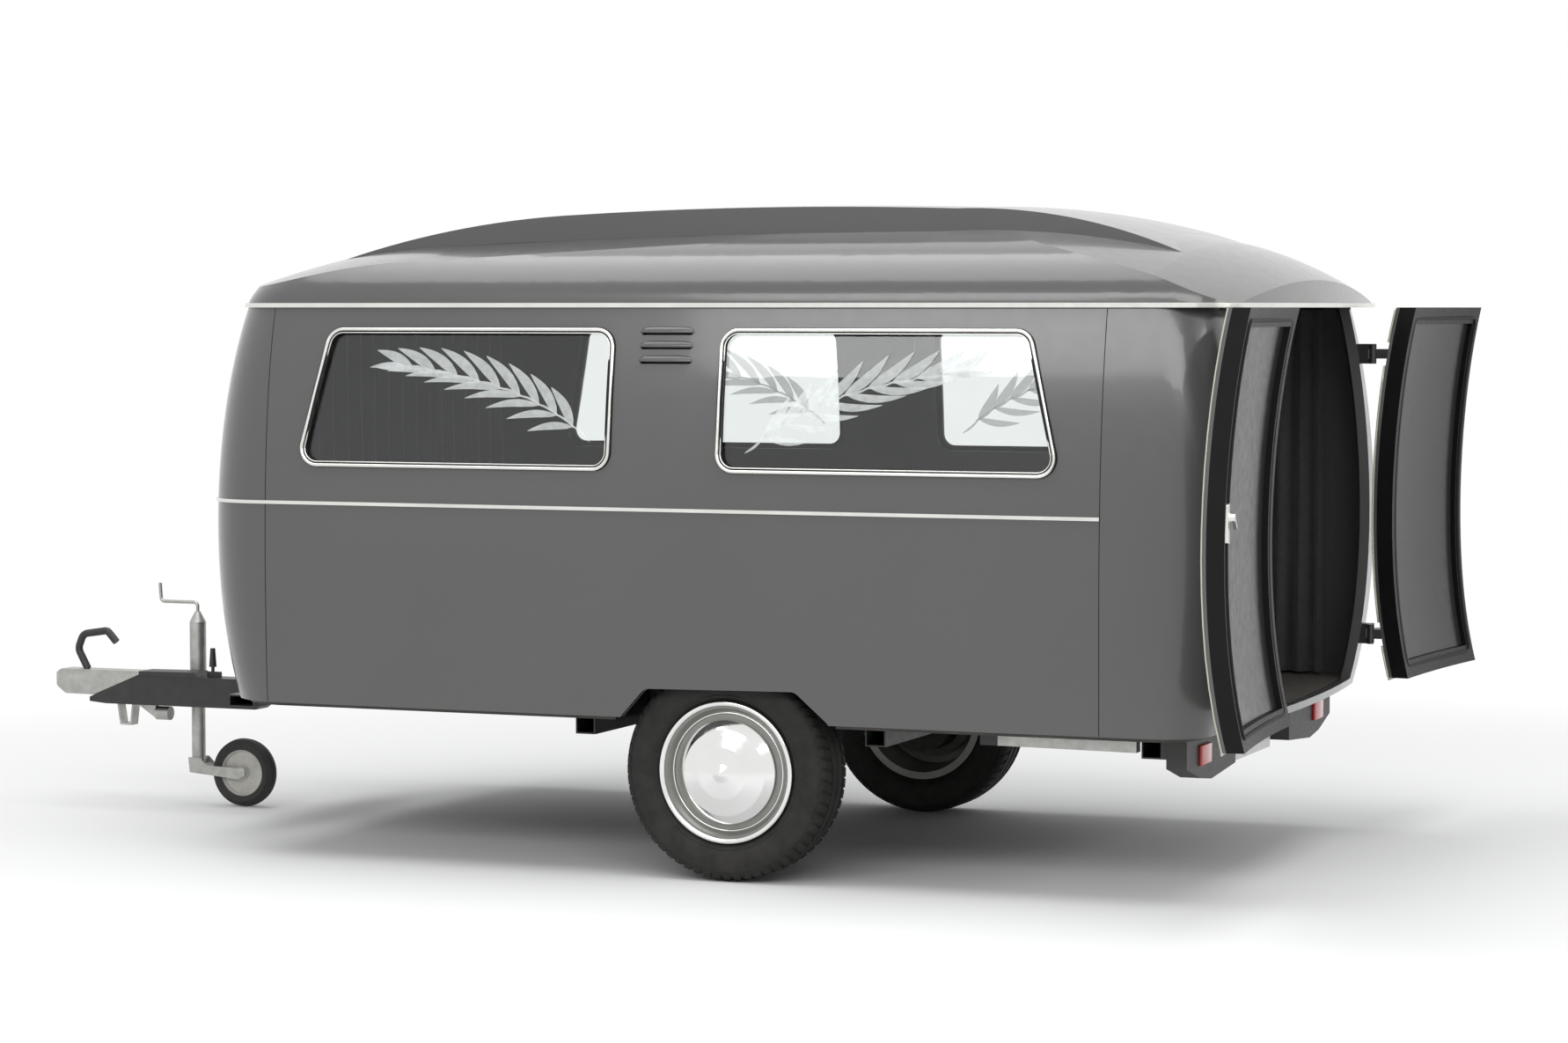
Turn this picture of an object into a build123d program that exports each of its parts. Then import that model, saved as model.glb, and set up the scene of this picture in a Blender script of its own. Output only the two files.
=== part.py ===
from build123d import *
import os

os.makedirs("parts", exist_ok=True)

# A single-axle towed hearse: a bowed caravan body with a raised roof, twin rear doors standing open,
# a cranked box-beam drawbar with an overrun coupling, and a jockey wheel that holds the nose level.
# X runs forward from the axle, Y to the left and Z up from the ground.
AXLE_X = 0

# Body shell
BODY_BOTTOM = 415
EAVE_Z = 1469
WALL = 25
FRONT_BOW = 50
REAR_BOW = 55
FRONT_CORNER_R = 200
REAR_CORNER_R = 130
FRONT_SEAM = 1295
REAR_SEAM = -1000
BODY_HALF_WIDTH = 850
BODY_NOSE = 1551
BODY_TAIL = -1345
SHOULDER_DROP = 63
NOSE_RAKE = 67
TAIL_RAKE = 60
# Each section of the body: height, how far the sides, the nose and the tail draw in from the widest.
BODY_SECTIONS = [
    (BODY_BOTTOM, 3, 62, 56),
    (600, 0, 20, 18),
    (935, 0, 0, 0),
    (1240, 0.36 * SHOULDER_DROP, 0.34 * NOSE_RAKE, 0.34 * TAIL_RAKE),
    (EAVE_Z, SHOULDER_DROP, NOSE_RAKE, TAIL_RAKE),
]

# Roof
EAVE_LIP = 3
REAR_EAVE_OVERHANG = 62
ROOF_SKIN = 18
EAVE_HALF_WIDTH = BODY_HALF_WIDTH - SHOULDER_DROP + EAVE_LIP
EAVE_NOSE = BODY_NOSE - NOSE_RAKE + EAVE_LIP
EAVE_TAIL = BODY_TAIL + TAIL_RAKE - REAR_EAVE_OVERHANG
# Each section of the roof's shoulders: height over the eave, how far the sides, the nose and the tail draw in.
ROOF_SECTIONS = [
    (0, 0, 0, 0),
    (61, 20, 42, 20),
    (121, 90, 105, 50),
    (160, 205, 170, 90),
    (196, 350, 260, 150),
]
# The lower roof's centre line and the raised part's, each a chain of arcs: station, height over the eave.
ROOF_LINE = [(1490, 88), (1257, 150), (887, 186), (308, 205), (-467, 214), (-830, 202), (-1109, 155),
             (-1250, 102), (EAVE_TAIL, 46)]
RAISED_LINE = [(1284, 121), (1000, 193), (600, 243), (50, 259), (-500, 252), (-830, 221), (-1109, 131)]
ROOF_CROWN_R = 3200
RAISED_CROWN_R = 9000
RAISED_HALF_WIDTH = 465
RAISED_BASE_RISE = 60
ROOF_BASE_DROP = 100
CROWN_ARC = 40
RAISED_JOINTS = (620, -520)
STRIP_HEIGHT = 12
STRIP_PROUD = 8

# Side windows: trim width and proudness, glass depth behind the skin, corner radius
TRIM_WIDTH = 16
TRIM_PROUD = 6
GLASS_DEPTH = 8
GLASS_THICK = 5
WINDOW_R = 50
WINDOW_TOP = 1406
WINDOW_SILL = 1040
FRONT_WINDOW_BACK = 299
FRONT_WINDOW_SILL_END = 1204
FRONT_WINDOW_TOP_END = 1121
REAR_WINDOW_FRONT = 10
REAR_WINDOW_SILL_END = -904
REAR_WINDOW_TOP_END = -813
BELT_Z = 945
BELT_HEIGHT = 9
BELT_PROUD = 5

# Floor and wheel boxes
FLOOR_Z = 405
FLOOR_TOP = 435
FIT = 0.4
BOX_SHEET = 4
BOX_FRONT = 300
BOX_BACK = -310
BOX_TOP = 610
BOX_INNER_Y = 600
BOX_OUTER_Y = 821

# Wheels
TYRE_R = 280
TYRE_WIDTH = 165
WHEEL_Y = 730
AXLE_Z = 280
RIM_R = 182
BEAD_R = 168
HUB_HOLE_R = 30
HUBCAP_R = 132
WELL_R = 150
RIM_WIDTH = 140
HUB_FACE_Y = 786
DISC_BACK_Y = HUB_FACE_Y - 22
DRUM_IN = 650
FLANGE = 5.6
DRUM_R = 102
ARCH_TOP = 493
ARCH_R = 30

# Vents between the windows
VENT_X = 158
VENT_LENGTH = 141
VENT_SLOT = 12
VENT_HEIGHTS = (1320, 1357, 1393)

# Doors
DOOR_EDGE_Y = 640
DOOR_BOTTOM = 441
DOOR_TOP = 1457
DOOR_CLEAR = 5
JAMB_Y = DOOR_EDGE_Y + DOOR_CLEAR
DOOR_SKIN = 8
DOOR_DEPTH = 50
DOOR_RAIL = 46
DOOR_PANEL_DEPTH = 30
DOOR_PANEL_THICK = 6
DOOR_OPEN = 172
HINGE_X = -1318
HINGE_Y = 648
HINGE_HEIGHTS = (560, 1330)
HINGE_PIN_R = 5
HINGE_EYE_R = 9
HINGE_RUN = 0.05
STRAP_HEIGHT = 26
STRAP_REACH = 60
STRAP_ROOT = 50
BRACKET_HEIGHT = 54
BRACKET_REACH = 60
BRACKET_WIDTH = 40
LATCH_Z = 965
LATCH_SETBACK = -2
DISC_Z = 1026
DISC_R = 88
DISC_GAP = 8
DISC_THICK = 12

# Chassis
BEAM_WIDTH = 70
BEAM_WALL = 4
BEAM_BOTTOM = 297
BEAM_TOP = 383
SPINE_BOTTOM = 345
SPINE_BACK = -1120
TUBE = 55
OUTRIGGER_Y = 700
CROSS_STATIONS = (437, -367, -1092)
BEAM_NOSE = 2345
BEAM_NOSE_TOP = 2185
NOSE_BRACKET_X = 1628
NOSE_BRACKET_REACH = 365
AXLE_BEAM_X = 150
AXLE_BEAM_Z = 268
AXLE_BEAM_SIZE = 60
AXLE_BEAM_HALF = 570
AXLE_PAD_Y = 480
ARM_THICK = 28
STUB_R = 18
STUB_END_Y = 770

# Jockey wheel
JOCKEY_X = 2040
JOCKEY_Y = -70
JOCKEY_TUBE_R = 24
JOCKEY_LEG_R = 20
JOCKEY_WHEEL_X = 1886
JOCKEY_WHEEL_R = 100
JOCKEY_WHEEL_WIDTH = 46
JOCKEY_TUBE_TOP = 537
JOCKEY_TUBE_BOTTOM = 306
JOCKEY_TRAVEL = 160
LEG_BOTTOM = 120
FORK_GAP = 52
FORK_PLATE = 4

# Coupling
COUPLING_NOSE = 2469
COUPLING_WIDTH = 62
ARM_TOP = 394
BALL_X = 2418
BALL_Z = 346
BALL_R = 25
GRIP_R = 11
OVERRUN_WIDTH = 78

# Rear board and steadies
BOARD_THICK = 14
LAMP_OUT_Y = 725
LAMP_DEPTH = 52
PLATE_LENGTH = 520
PLATE_HEIGHT = 112
STEADY_Y = 715
STEADY_WIDTH = 34
STEADY_PIVOT_X = -680
STEADY_PIVOT_Z = FLOOR_Z - 20
STEADY_PIN_R = 5
STEADY_SHEET = 3
STEADY_FOOT_X = -1061


def export(piece, name):
    piece.part.label = name
    export_step(piece.part, "parts/" + name + ".step")


# The plan of the body: bowed nose and tail, straight sides and rounded corners.
def plan_sketch(height, half_width, nose, tail, inset):
    side = half_width - inset
    front = nose - inset
    back = tail + inset
    with BuildSketch(Plane.XY.offset(height)) as plan:
        with BuildLine():
            ThreePointArc((front - FRONT_BOW, -side), (front, 0), (front - FRONT_BOW, side))
            Line((front - FRONT_BOW, side), (back + REAR_BOW, side))
            ThreePointArc((back + REAR_BOW, side), (back, 0), (back + REAR_BOW, -side))
            Line((back + REAR_BOW, -side), (front - FRONT_BOW, -side))
        make_face()
        fillet(plan.vertices().group_by(Axis.X)[-1], FRONT_CORNER_R - inset)
        fillet(plan.vertices().group_by(Axis.X)[0], REAR_CORNER_R - inset)
    return plan.sketch


# The whole body as one solid, drawn in by a given depth from its outer face.
def body_solid(inset):
    sections = []
    for height, side_in, nose_in, tail_in in BODY_SECTIONS:
        side = BODY_HALF_WIDTH - side_in
        sections.append(plan_sketch(height, side, BODY_NOSE - nose_in, BODY_TAIL + tail_in, inset))
    with BuildPart() as solid:
        loft(sections)
    return solid.part


# A slab whose top follows a centre line of arcs and falls off to both sides at the crown radius.
def crowned_slab(line, crown_radius, base, inset):
    points = [(station, crown_radius + rise - inset) for station, rise in line]
    front, tail = line[0][0], line[-1][0]
    with BuildPart() as slab_part:
        with BuildSketch(Plane.XZ):
            with BuildLine():
                Polyline(points[-1], (tail, crown_radius + base), (front, crown_radius + base), points[0])
                for start in range(0, len(points) - 2, 2):
                    ThreePointArc(*points[start:start + 3])
            make_face()
        revolve(axis=Axis.X, revolution_arc=CROWN_ARC)
    turned = Rot(X=-CROWN_ARC / 2) * slab_part.part
    return Pos(0, 0, EAVE_Z - crown_radius) * turned


def roof_solid(inset):
    sections = []
    for rise, side_in, nose_in, tail_in in ROOF_SECTIONS:
        side, nose, tail = EAVE_HALF_WIDTH - side_in, EAVE_NOSE - nose_in, EAVE_TAIL + tail_in
        sections.append(plan_sketch(EAVE_Z + rise, side, nose, tail, inset))
    with BuildPart() as solid:
        loft(sections)
        add(crowned_slab(ROOF_LINE, ROOF_CROWN_R, -ROOF_BASE_DROP, inset), mode=Mode.INTERSECT)
    return solid.part


# A layer of the body between two depths.
def layer(outer_depth, inner_depth):
    with BuildPart() as shell:
        add(body_solid(outer_depth))
        add(body_solid(inner_depth), mode=Mode.SUBTRACT)
    return shell.part


body_wall = layer(0, WALL)


# The outline of one side window, drawn in by a margin; the front one leans back, the rear one forward.
def window_outline(front_window, margin):
    if front_window:
        square_x, sill_x, top_x = FRONT_WINDOW_BACK, FRONT_WINDOW_SILL_END, FRONT_WINDOW_TOP_END
    else:
        square_x, sill_x, top_x = REAR_WINDOW_FRONT, REAR_WINDOW_SILL_END, REAR_WINDOW_TOP_END
    with BuildSketch(Plane.XZ) as outline:
        with BuildLine():
            Polyline((square_x, WINDOW_SILL), (sill_x, WINDOW_SILL), (top_x, WINDOW_TOP),
                     (square_x, WINDOW_TOP), close=True)
        make_face()
        fillet(outline.vertices(), WINDOW_R)
        if margin:
            offset(amount=-margin, mode=Mode.REPLACE)
    return outline.sketch


# The wheel arch in the side, a low trapezium with rounded upper corners.
def arch_outline():
    with BuildSketch(Plane.XZ) as arch:
        with BuildLine():
            Polyline((282, BODY_BOTTOM - 20), (268, BODY_BOTTOM + 6), (205, ARCH_TOP - 3),
                     (-205, ARCH_TOP + 3), (-292, BODY_BOTTOM + 6), (-308, BODY_BOTTOM - 20),
                     close=True)
        make_face()
        fillet(arch.vertices().sort_by(Axis.Y)[-2:], ARCH_R)
    return arch.sketch


# A block across the whole width between two stations, to keep one stretch of the body.
def stretch(back, front, low_y=-2 * BODY_HALF_WIDTH, high_y=2 * BODY_HALF_WIDTH):
    with BuildPart() as block:
        with BuildSketch(Plane.XY):
            with Locations((back, low_y)):
                Rectangle(front - back, high_y - low_y, align=(Align.MIN, Align.MIN))
        extrude(amount=2 * EAVE_Z)
    return block.part


# A block from the left side outwards, upright, between two heights.
def slab(back, front, low_y, high_y, low_z, high_z):
    with BuildPart() as block:
        with BuildSketch(Plane.XY.offset(low_z)):
            with Locations((back, low_y)):
                Rectangle(front - back, high_y - low_y, align=(Align.MIN, Align.MIN))
        extrude(amount=high_z - low_z)
    return block.part


# Body panels, split where the real seams run

with BuildPart() as body_front:
    add(body_wall)
    add(stretch(FRONT_SEAM, BODY_NOSE + WALL), mode=Mode.INTERSECT)
export(body_front, "body_front")

with BuildPart() as side_left:
    add(body_wall)
    add(stretch(REAR_SEAM, FRONT_SEAM, 0), mode=Mode.INTERSECT)
    for front_window in (True, False):
        extrude(window_outline(front_window, 0), amount=-2 * BODY_HALF_WIDTH, mode=Mode.SUBTRACT)
    extrude(arch_outline(), amount=-2 * BODY_HALF_WIDTH, mode=Mode.SUBTRACT)
    with BuildSketch(Plane.XZ):
        for slot_z in VENT_HEIGHTS:
            with Locations((VENT_X, slot_z)):
                SlotOverall(VENT_LENGTH, VENT_SLOT)
    extrude(amount=-2 * BODY_HALF_WIDTH, mode=Mode.SUBTRACT)
export(side_left, "side_left")

with BuildPart() as side_right:
    mirror(side_left.part, about=Plane.XZ)
export(side_right, "side_right")

with BuildPart() as rear_frame:
    add(body_wall)
    add(stretch(BODY_TAIL - WALL, REAR_SEAM), mode=Mode.INTERSECT)
    add(slab(BODY_TAIL - WALL, REAR_SEAM - REAR_CORNER_R, -JAMB_Y, JAMB_Y, DOOR_BOTTOM - DOOR_CLEAR,
             DOOR_TOP + DOOR_CLEAR), mode=Mode.SUBTRACT)
export(rear_frame, "rear_frame")

# Floor, open where the wheel boxes stand
with BuildPart() as floor_panel:
    extrude(plan_sketch(FLOOR_Z, BODY_HALF_WIDTH - 3, BODY_NOSE - 62, BODY_TAIL + 56, WALL + FIT),
            amount=FLOOR_TOP - FLOOR_Z)
    for side in (1, -1):
        with BuildSketch(Plane.XY.offset(FLOOR_Z)):
            with Locations(((BOX_FRONT + BOX_BACK) / 2, side * (BOX_INNER_Y + BODY_HALF_WIDTH) / 2)):
                Rectangle(BOX_FRONT - BOX_BACK + 2 * FIT, BODY_HALF_WIDTH - BOX_INNER_Y + 2 * FIT)
        extrude(amount=FLOOR_TOP - FLOOR_Z, mode=Mode.SUBTRACT)
export(floor_panel, "floor_panel")

with BuildPart() as wheel_boxes:
    for side in (1, -1):
        box_y = side * (BOX_INNER_Y + BOX_OUTER_Y) / 2
        box_length = BOX_FRONT - BOX_BACK
        box_width = BOX_OUTER_Y - BOX_INNER_Y
        with BuildSketch(Plane.XY.offset(FLOOR_Z)):
            with Locations(((BOX_FRONT + BOX_BACK) / 2, box_y)):
                Rectangle(box_length, box_width)
        extrude(amount=BOX_TOP - FLOOR_Z)
        with BuildSketch(Plane.XY.offset(FLOOR_Z)):
            with Locations(((BOX_FRONT + BOX_BACK) / 2, box_y + side * BOX_SHEET)):
                Rectangle(box_length - 2 * BOX_SHEET, box_width)
        extrude(amount=BOX_TOP - FLOOR_Z - BOX_SHEET, mode=Mode.SUBTRACT)
export(wheel_boxes, "wheel_boxes")

# Roof: a domed lower shell with a sloping tail, and a raised centre that runs out into the slope
def raised_solid(inset):
    half = RAISED_HALF_WIDTH - inset
    with BuildPart() as solid:
        add(crowned_slab(RAISED_LINE, RAISED_CROWN_R, RAISED_BASE_RISE, inset))
        add(stretch(RAISED_LINE[-1][0], RAISED_LINE[0][0] - inset, -half, half), mode=Mode.INTERSECT)
    return solid.part


lower_roof = roof_solid(0)
raised_space = raised_solid(ROOF_SKIN)

with BuildPart() as roof_lower:
    add(lower_roof)
    add(raised_space, mode=Mode.SUBTRACT)
    add(roof_solid(ROOF_SKIN), mode=Mode.SUBTRACT)
export(roof_lower, "roof_lower")

with BuildPart() as raised_shell:
    add(raised_solid(0))
    add(raised_space, mode=Mode.SUBTRACT)
    add(lower_roof, mode=Mode.SUBTRACT)

front_joint, rear_joint = RAISED_JOINTS
wall_inside = RAISED_HALF_WIDTH - ROOF_SKIN
middle_panel = stretch(rear_joint, front_joint, -wall_inside, wall_inside)
with BuildPart() as raised_sides:
    add(raised_shell)
    add(stretch(rear_joint, front_joint), mode=Mode.INTERSECT)
    add(middle_panel, mode=Mode.SUBTRACT)
export(raised_sides, "roof_raised_sides")

for name, block in (("roof_raised_front", stretch(front_joint, BODY_NOSE)), ("roof_raised", middle_panel),
                    ("roof_raised_rear", stretch(EAVE_TAIL, rear_joint))):
    with BuildPart() as raised_panel:
        add(raised_shell)
        add(block, mode=Mode.INTERSECT)
    export(raised_panel, name)

# Eave strip, a bright ring over the joint of roof and walls
with BuildPart() as eave_strip:
    extrude(plan_sketch(EAVE_Z - STRIP_HEIGHT, EAVE_HALF_WIDTH, EAVE_NOSE, EAVE_TAIL, -STRIP_PROUD),
            amount=STRIP_HEIGHT - FIT)
    extrude(plan_sketch(EAVE_Z - STRIP_HEIGHT, EAVE_HALF_WIDTH, EAVE_NOSE, EAVE_TAIL, 0),
            amount=STRIP_HEIGHT, mode=Mode.SUBTRACT)
    add(body_solid(0), mode=Mode.SUBTRACT)
export(eave_strip, "eave_strip")

# Belt strip, from the rear seam round the nose to the other rear seam
with BuildPart() as belt_strip:
    add(layer(-BELT_PROUD, 0))
    add(slab(REAR_SEAM, BODY_NOSE + WALL, -2 * BODY_HALF_WIDTH, 2 * BODY_HALF_WIDTH,
             BELT_Z - BELT_HEIGHT / 2, BELT_Z + BELT_HEIGHT / 2), mode=Mode.INTERSECT)
export(belt_strip, "belt_strip")

# Window glass and trim follow the curve of the sides
glass_layer = layer(GLASS_DEPTH, GLASS_DEPTH + GLASS_THICK)
trim_layer = layer(-TRIM_PROUD, GLASS_DEPTH)
left_half = stretch(REAR_SEAM, FRONT_SEAM, 0)


def window_pieces(shell, margin, hole_margin=None):
    with BuildPart() as pieces:
        for front_window in (True, False):
            extrude(window_outline(front_window, margin), amount=-2 * BODY_HALF_WIDTH)
            if hole_margin is not None:
                extrude(window_outline(front_window, hole_margin), amount=-2 * BODY_HALF_WIDTH,
                        mode=Mode.SUBTRACT)
        add(shell, mode=Mode.INTERSECT)
    return pieces.part


with BuildPart() as glass_left:
    add(window_pieces(glass_layer, FIT))
export(glass_left, "glass_left")

with BuildPart() as glass_right:
    mirror(glass_left.part, about=Plane.XZ)
export(glass_right, "glass_right")

with BuildPart() as window_trim_left:
    add(window_pieces(trim_layer, FIT, TRIM_WIDTH))
export(window_trim_left, "window_trim_left")

with BuildPart() as window_trim_right:
    mirror(window_trim_left.part, about=Plane.XZ)
export(window_trim_right, "window_trim_right")

# Doors, drawn closed in the body's own curve, then swung open about their hinges
left_hinge = Axis((HINGE_X, HINGE_Y, 0), (0, 0, 1))


def door_block(margin):
    return slab(BODY_TAIL - 2 * WALL, REAR_SEAM - REAR_CORNER_R, DOOR_CLEAR / 2 + margin, DOOR_EDGE_Y - margin,
                DOOR_BOTTOM + margin, DOOR_TOP - margin)


def export_pair(closed_piece, name):
    with BuildPart() as left:
        add(closed_piece.part.rotate(left_hinge, -DOOR_OPEN))
    export(left, name + "_left")
    with BuildPart() as right:
        mirror(left.part, about=Plane.XZ)
    export(right, name + "_right")


with BuildPart() as door_skin:
    add(layer(0, DOOR_SKIN))
    add(door_block(0), mode=Mode.INTERSECT)
export_pair(door_skin, "door_skin")

with BuildPart() as door_frame:
    add(layer(DOOR_SKIN, DOOR_DEPTH))
    add(door_block(0), mode=Mode.INTERSECT)
    add(door_block(DOOR_RAIL), mode=Mode.SUBTRACT)
export_pair(door_frame, "door_frame")

with BuildPart() as door_panel:
    add(layer(DOOR_PANEL_DEPTH, DOOR_PANEL_DEPTH + DOOR_PANEL_THICK))
    add(door_block(DOOR_RAIL + FIT), mode=Mode.INTERSECT)
export_pair(door_panel, "door_panel")

# Strap hinges: an eye and strap on the door, a forked bracket with its pin on the body
with BuildPart() as door_straps:
    for hinge_z in HINGE_HEIGHTS:
        with BuildSketch(Plane.XY.offset(hinge_z - STRAP_HEIGHT / 2)):
            with Locations((HINGE_X, HINGE_Y)):
                Circle(HINGE_EYE_R)
            with BuildLine():
                Polyline((HINGE_X - HINGE_EYE_R, HINGE_Y), (HINGE_X - HINGE_EYE_R, DOOR_EDGE_Y - STRAP_REACH),
                         (HINGE_X + STRAP_ROOT, DOOR_EDGE_Y - STRAP_REACH), (HINGE_X + STRAP_ROOT, DOOR_EDGE_Y),
                         (HINGE_X + HINGE_EYE_R, HINGE_Y), close=True)
            make_face()
        extrude(amount=STRAP_HEIGHT)
        with BuildSketch(Plane.XY.offset(hinge_z - STRAP_HEIGHT / 2)):
            with Locations((HINGE_X, HINGE_Y)):
                Circle(HINGE_PIN_R + HINGE_RUN)
        extrude(amount=STRAP_HEIGHT, mode=Mode.SUBTRACT)
    add(body_solid(-FIT), mode=Mode.SUBTRACT)
export_pair(door_straps, "door_straps")

with BuildPart() as hinge_brackets:
    for side in (1, -1):
        for hinge_z in HINGE_HEIGHTS:
            with BuildSketch(Plane.XY.offset(hinge_z - BRACKET_HEIGHT / 2)):
                with Locations((HINGE_X, side * HINGE_Y)):
                    Circle(HINGE_EYE_R)
                with Locations((HINGE_X, side * (HINGE_Y + 6))):
                    Rectangle(BRACKET_REACH, BRACKET_WIDTH, align=(Align.MIN, Align.MIN if side > 0 else Align.MAX))
            extrude(amount=BRACKET_HEIGHT)
            with BuildSketch(Plane.XY.offset(hinge_z - STRAP_HEIGHT / 2 - FIT)):
                with Locations((HINGE_X, side * HINGE_Y)):
                    Rectangle(2 * HINGE_EYE_R + 2 * DOOR_CLEAR, 4 * BRACKET_WIDTH)
            extrude(amount=STRAP_HEIGHT + 2 * FIT, mode=Mode.SUBTRACT)
            with BuildSketch(Plane.XY.offset(hinge_z - BRACKET_HEIGHT / 2)):
                with Locations((HINGE_X, side * HINGE_Y)):
                    Circle(HINGE_PIN_R)
            extrude(amount=BRACKET_HEIGHT)
    add(body_solid(0), mode=Mode.SUBTRACT)
export(hinge_brackets, "hinge_brackets")

# Latch on the left door's inner face and the round cover on the right door's outer face
with BuildPart() as latch_closed:
    with BuildSketch(Plane.YZ.offset(BODY_TAIL + DOOR_DEPTH + LATCH_SETBACK)):
        with Locations((DOOR_RAIL / 2, LATCH_Z)):
            RectangleRounded(28, 92, 6)
    extrude(amount=10)
    with BuildSketch(Plane.YZ.offset(BODY_TAIL + DOOR_DEPTH + LATCH_SETBACK)):
        with Locations((DOOR_RAIL / 2, LATCH_Z + 14)):
            Circle(11)
    extrude(amount=24)
    with BuildSketch(Plane.YZ.offset(BODY_TAIL + DOOR_DEPTH + LATCH_SETBACK + 16)):
        with Locations((DOOR_RAIL / 2 + 18, LATCH_Z + 2)):
            SlotOverall(52, 12, rotation=-35)
    extrude(amount=8)
    add(body_solid(DOOR_DEPTH + FIT), mode=Mode.INTERSECT)
with BuildPart() as latch:
    add(latch_closed.part.rotate(left_hinge, -DOOR_OPEN))
export(latch, "latch")

with BuildPart() as cover_disc_closed:
    with BuildSketch(Plane.YZ.offset(BODY_TAIL - DISC_GAP)):
        with Locations((0, DISC_Z)):
            Circle(DISC_R)
    extrude(amount=-DISC_THICK, taper=30)
    with BuildSketch(Plane.YZ.offset(BODY_TAIL - DISC_GAP)):
        with Locations((DISC_R / 2, DISC_Z)):
            RectangleRounded(DISC_R * 0.8, DISC_R, 8)
    extrude(amount=2 * DISC_GAP)
    add(body_solid(-FIT), mode=Mode.SUBTRACT)
with BuildPart() as cover_disc:
    mirror(cover_disc_closed.part.rotate(left_hinge, -DOOR_OPEN), about=Plane.XZ)
export(cover_disc, "cover_disc")

# Drawbar: one fabricated box beam, deep at the nose and cranked up under the floor


def beam_profile(inset):
    with BuildSketch(Plane.XZ.offset(-BEAM_WIDTH / 2 + inset)) as profile:
        with BuildLine():
            Polyline((BEAM_NOSE, BEAM_BOTTOM + 5), (BEAM_NOSE, BEAM_BOTTOM + 18), (BEAM_NOSE_TOP, BEAM_TOP),
                     (1560, BEAM_TOP), (1440, FLOOR_Z), (SPINE_BACK, FLOOR_Z),
                     (SPINE_BACK, SPINE_BOTTOM), (1720, SPINE_BOTTOM), (1790, BEAM_BOTTOM),
                     (2290, BEAM_BOTTOM), close=True)
        make_face()
        if inset:
            offset(amount=-inset, kind=Kind.INTERSECTION, mode=Mode.REPLACE)
    return profile.sketch


with BuildPart() as drawbar:
    extrude(beam_profile(0), amount=BEAM_WIDTH)
    extrude(beam_profile(BEAM_WALL), amount=BEAM_WIDTH - 2 * BEAM_WALL, mode=Mode.SUBTRACT)
export(drawbar, "drawbar")

# Cross members welded to both sides of the spine, and the short front outriggers
with BuildPart() as cross_members:
    for station in CROSS_STATIONS:
        for side in (1, -1):
            with BuildSketch(Plane.XZ.offset(-side * BEAM_WIDTH / 2)):
                with Locations((station, FLOOR_Z - TUBE / 2)):
                    Rectangle(TUBE, TUBE)
                    Rectangle(TUBE - 2 * BEAM_WALL, TUBE - 2 * BEAM_WALL, mode=Mode.SUBTRACT)
            extrude(amount=-side * (OUTRIGGER_Y - BEAM_WIDTH / 2))
    for side in (1, -1):
        with BuildSketch(Plane.XZ.offset(-side * BEAM_WIDTH / 2)):
            with Locations((NOSE_BRACKET_X, BEAM_TOP - 20)):
                Rectangle(80, 34)
                Rectangle(80 - 2 * BEAM_WALL, 34 - 2 * BEAM_WALL, mode=Mode.SUBTRACT)
        extrude(amount=-side * NOSE_BRACKET_REACH)
export(cross_members, "cross_members")

# Torsion axle under the spine, its mounting pads, and the trailing arms with their stub axles
with BuildPart() as axle_beam:
    with BuildSketch(Plane.XZ.offset(AXLE_BEAM_HALF)):
        with Locations((AXLE_BEAM_X, AXLE_BEAM_Z)):
            RectangleRounded(AXLE_BEAM_SIZE, AXLE_BEAM_SIZE, 8)
            RectangleRounded(AXLE_BEAM_SIZE - 12, AXLE_BEAM_SIZE - 12, 4, mode=Mode.SUBTRACT)
    extrude(amount=-2 * AXLE_BEAM_HALF)
    with BuildSketch(Plane.XY.offset(AXLE_BEAM_Z + AXLE_BEAM_SIZE / 2)):
        with Locations((AXLE_BEAM_X, 0)):
            Rectangle(AXLE_BEAM_SIZE + 60, BEAM_WIDTH)
    extrude(amount=SPINE_BOTTOM - AXLE_BEAM_Z - AXLE_BEAM_SIZE / 2)
    for side in (1, -1):
        with BuildSketch(Plane.XY.offset(AXLE_BEAM_Z + AXLE_BEAM_SIZE / 2)):
            with Locations((AXLE_BEAM_X, side * AXLE_PAD_Y)):
                Rectangle(AXLE_BEAM_SIZE + 40, 70)
        extrude(amount=FLOOR_Z - AXLE_BEAM_Z - AXLE_BEAM_SIZE / 2)
export(axle_beam, "axle_beam")

with BuildPart() as trailing_arms:
    for side in (1, -1):
        with BuildSketch(Plane.XZ.offset(-side * (AXLE_BEAM_HALF + FIT))):
            with BuildLine():
                Polyline((AXLE_BEAM_X + 34, AXLE_BEAM_Z + 34), (AXLE_BEAM_X + 34, AXLE_BEAM_Z - 34),
                         (AXLE_X, AXLE_Z - 30), (AXLE_X - 26, AXLE_Z - 16), (AXLE_X - 26, AXLE_Z + 16),
                         (AXLE_X, AXLE_Z + 30), close=True)
            make_face()
        extrude(amount=-side * ARM_THICK)
        with BuildSketch(Plane.XZ.offset(-side * (AXLE_BEAM_HALF + ARM_THICK))):
            with Locations((AXLE_X, AXLE_Z)):
                Circle(STUB_R)
        extrude(amount=-side * (STUB_END_Y - AXLE_BEAM_HALF - ARM_THICK))
export(trailing_arms, "trailing_arms")

# Wheels: drum, dished rim with its trim ring, tyre and domed cap, turned about the stub axle


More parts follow.
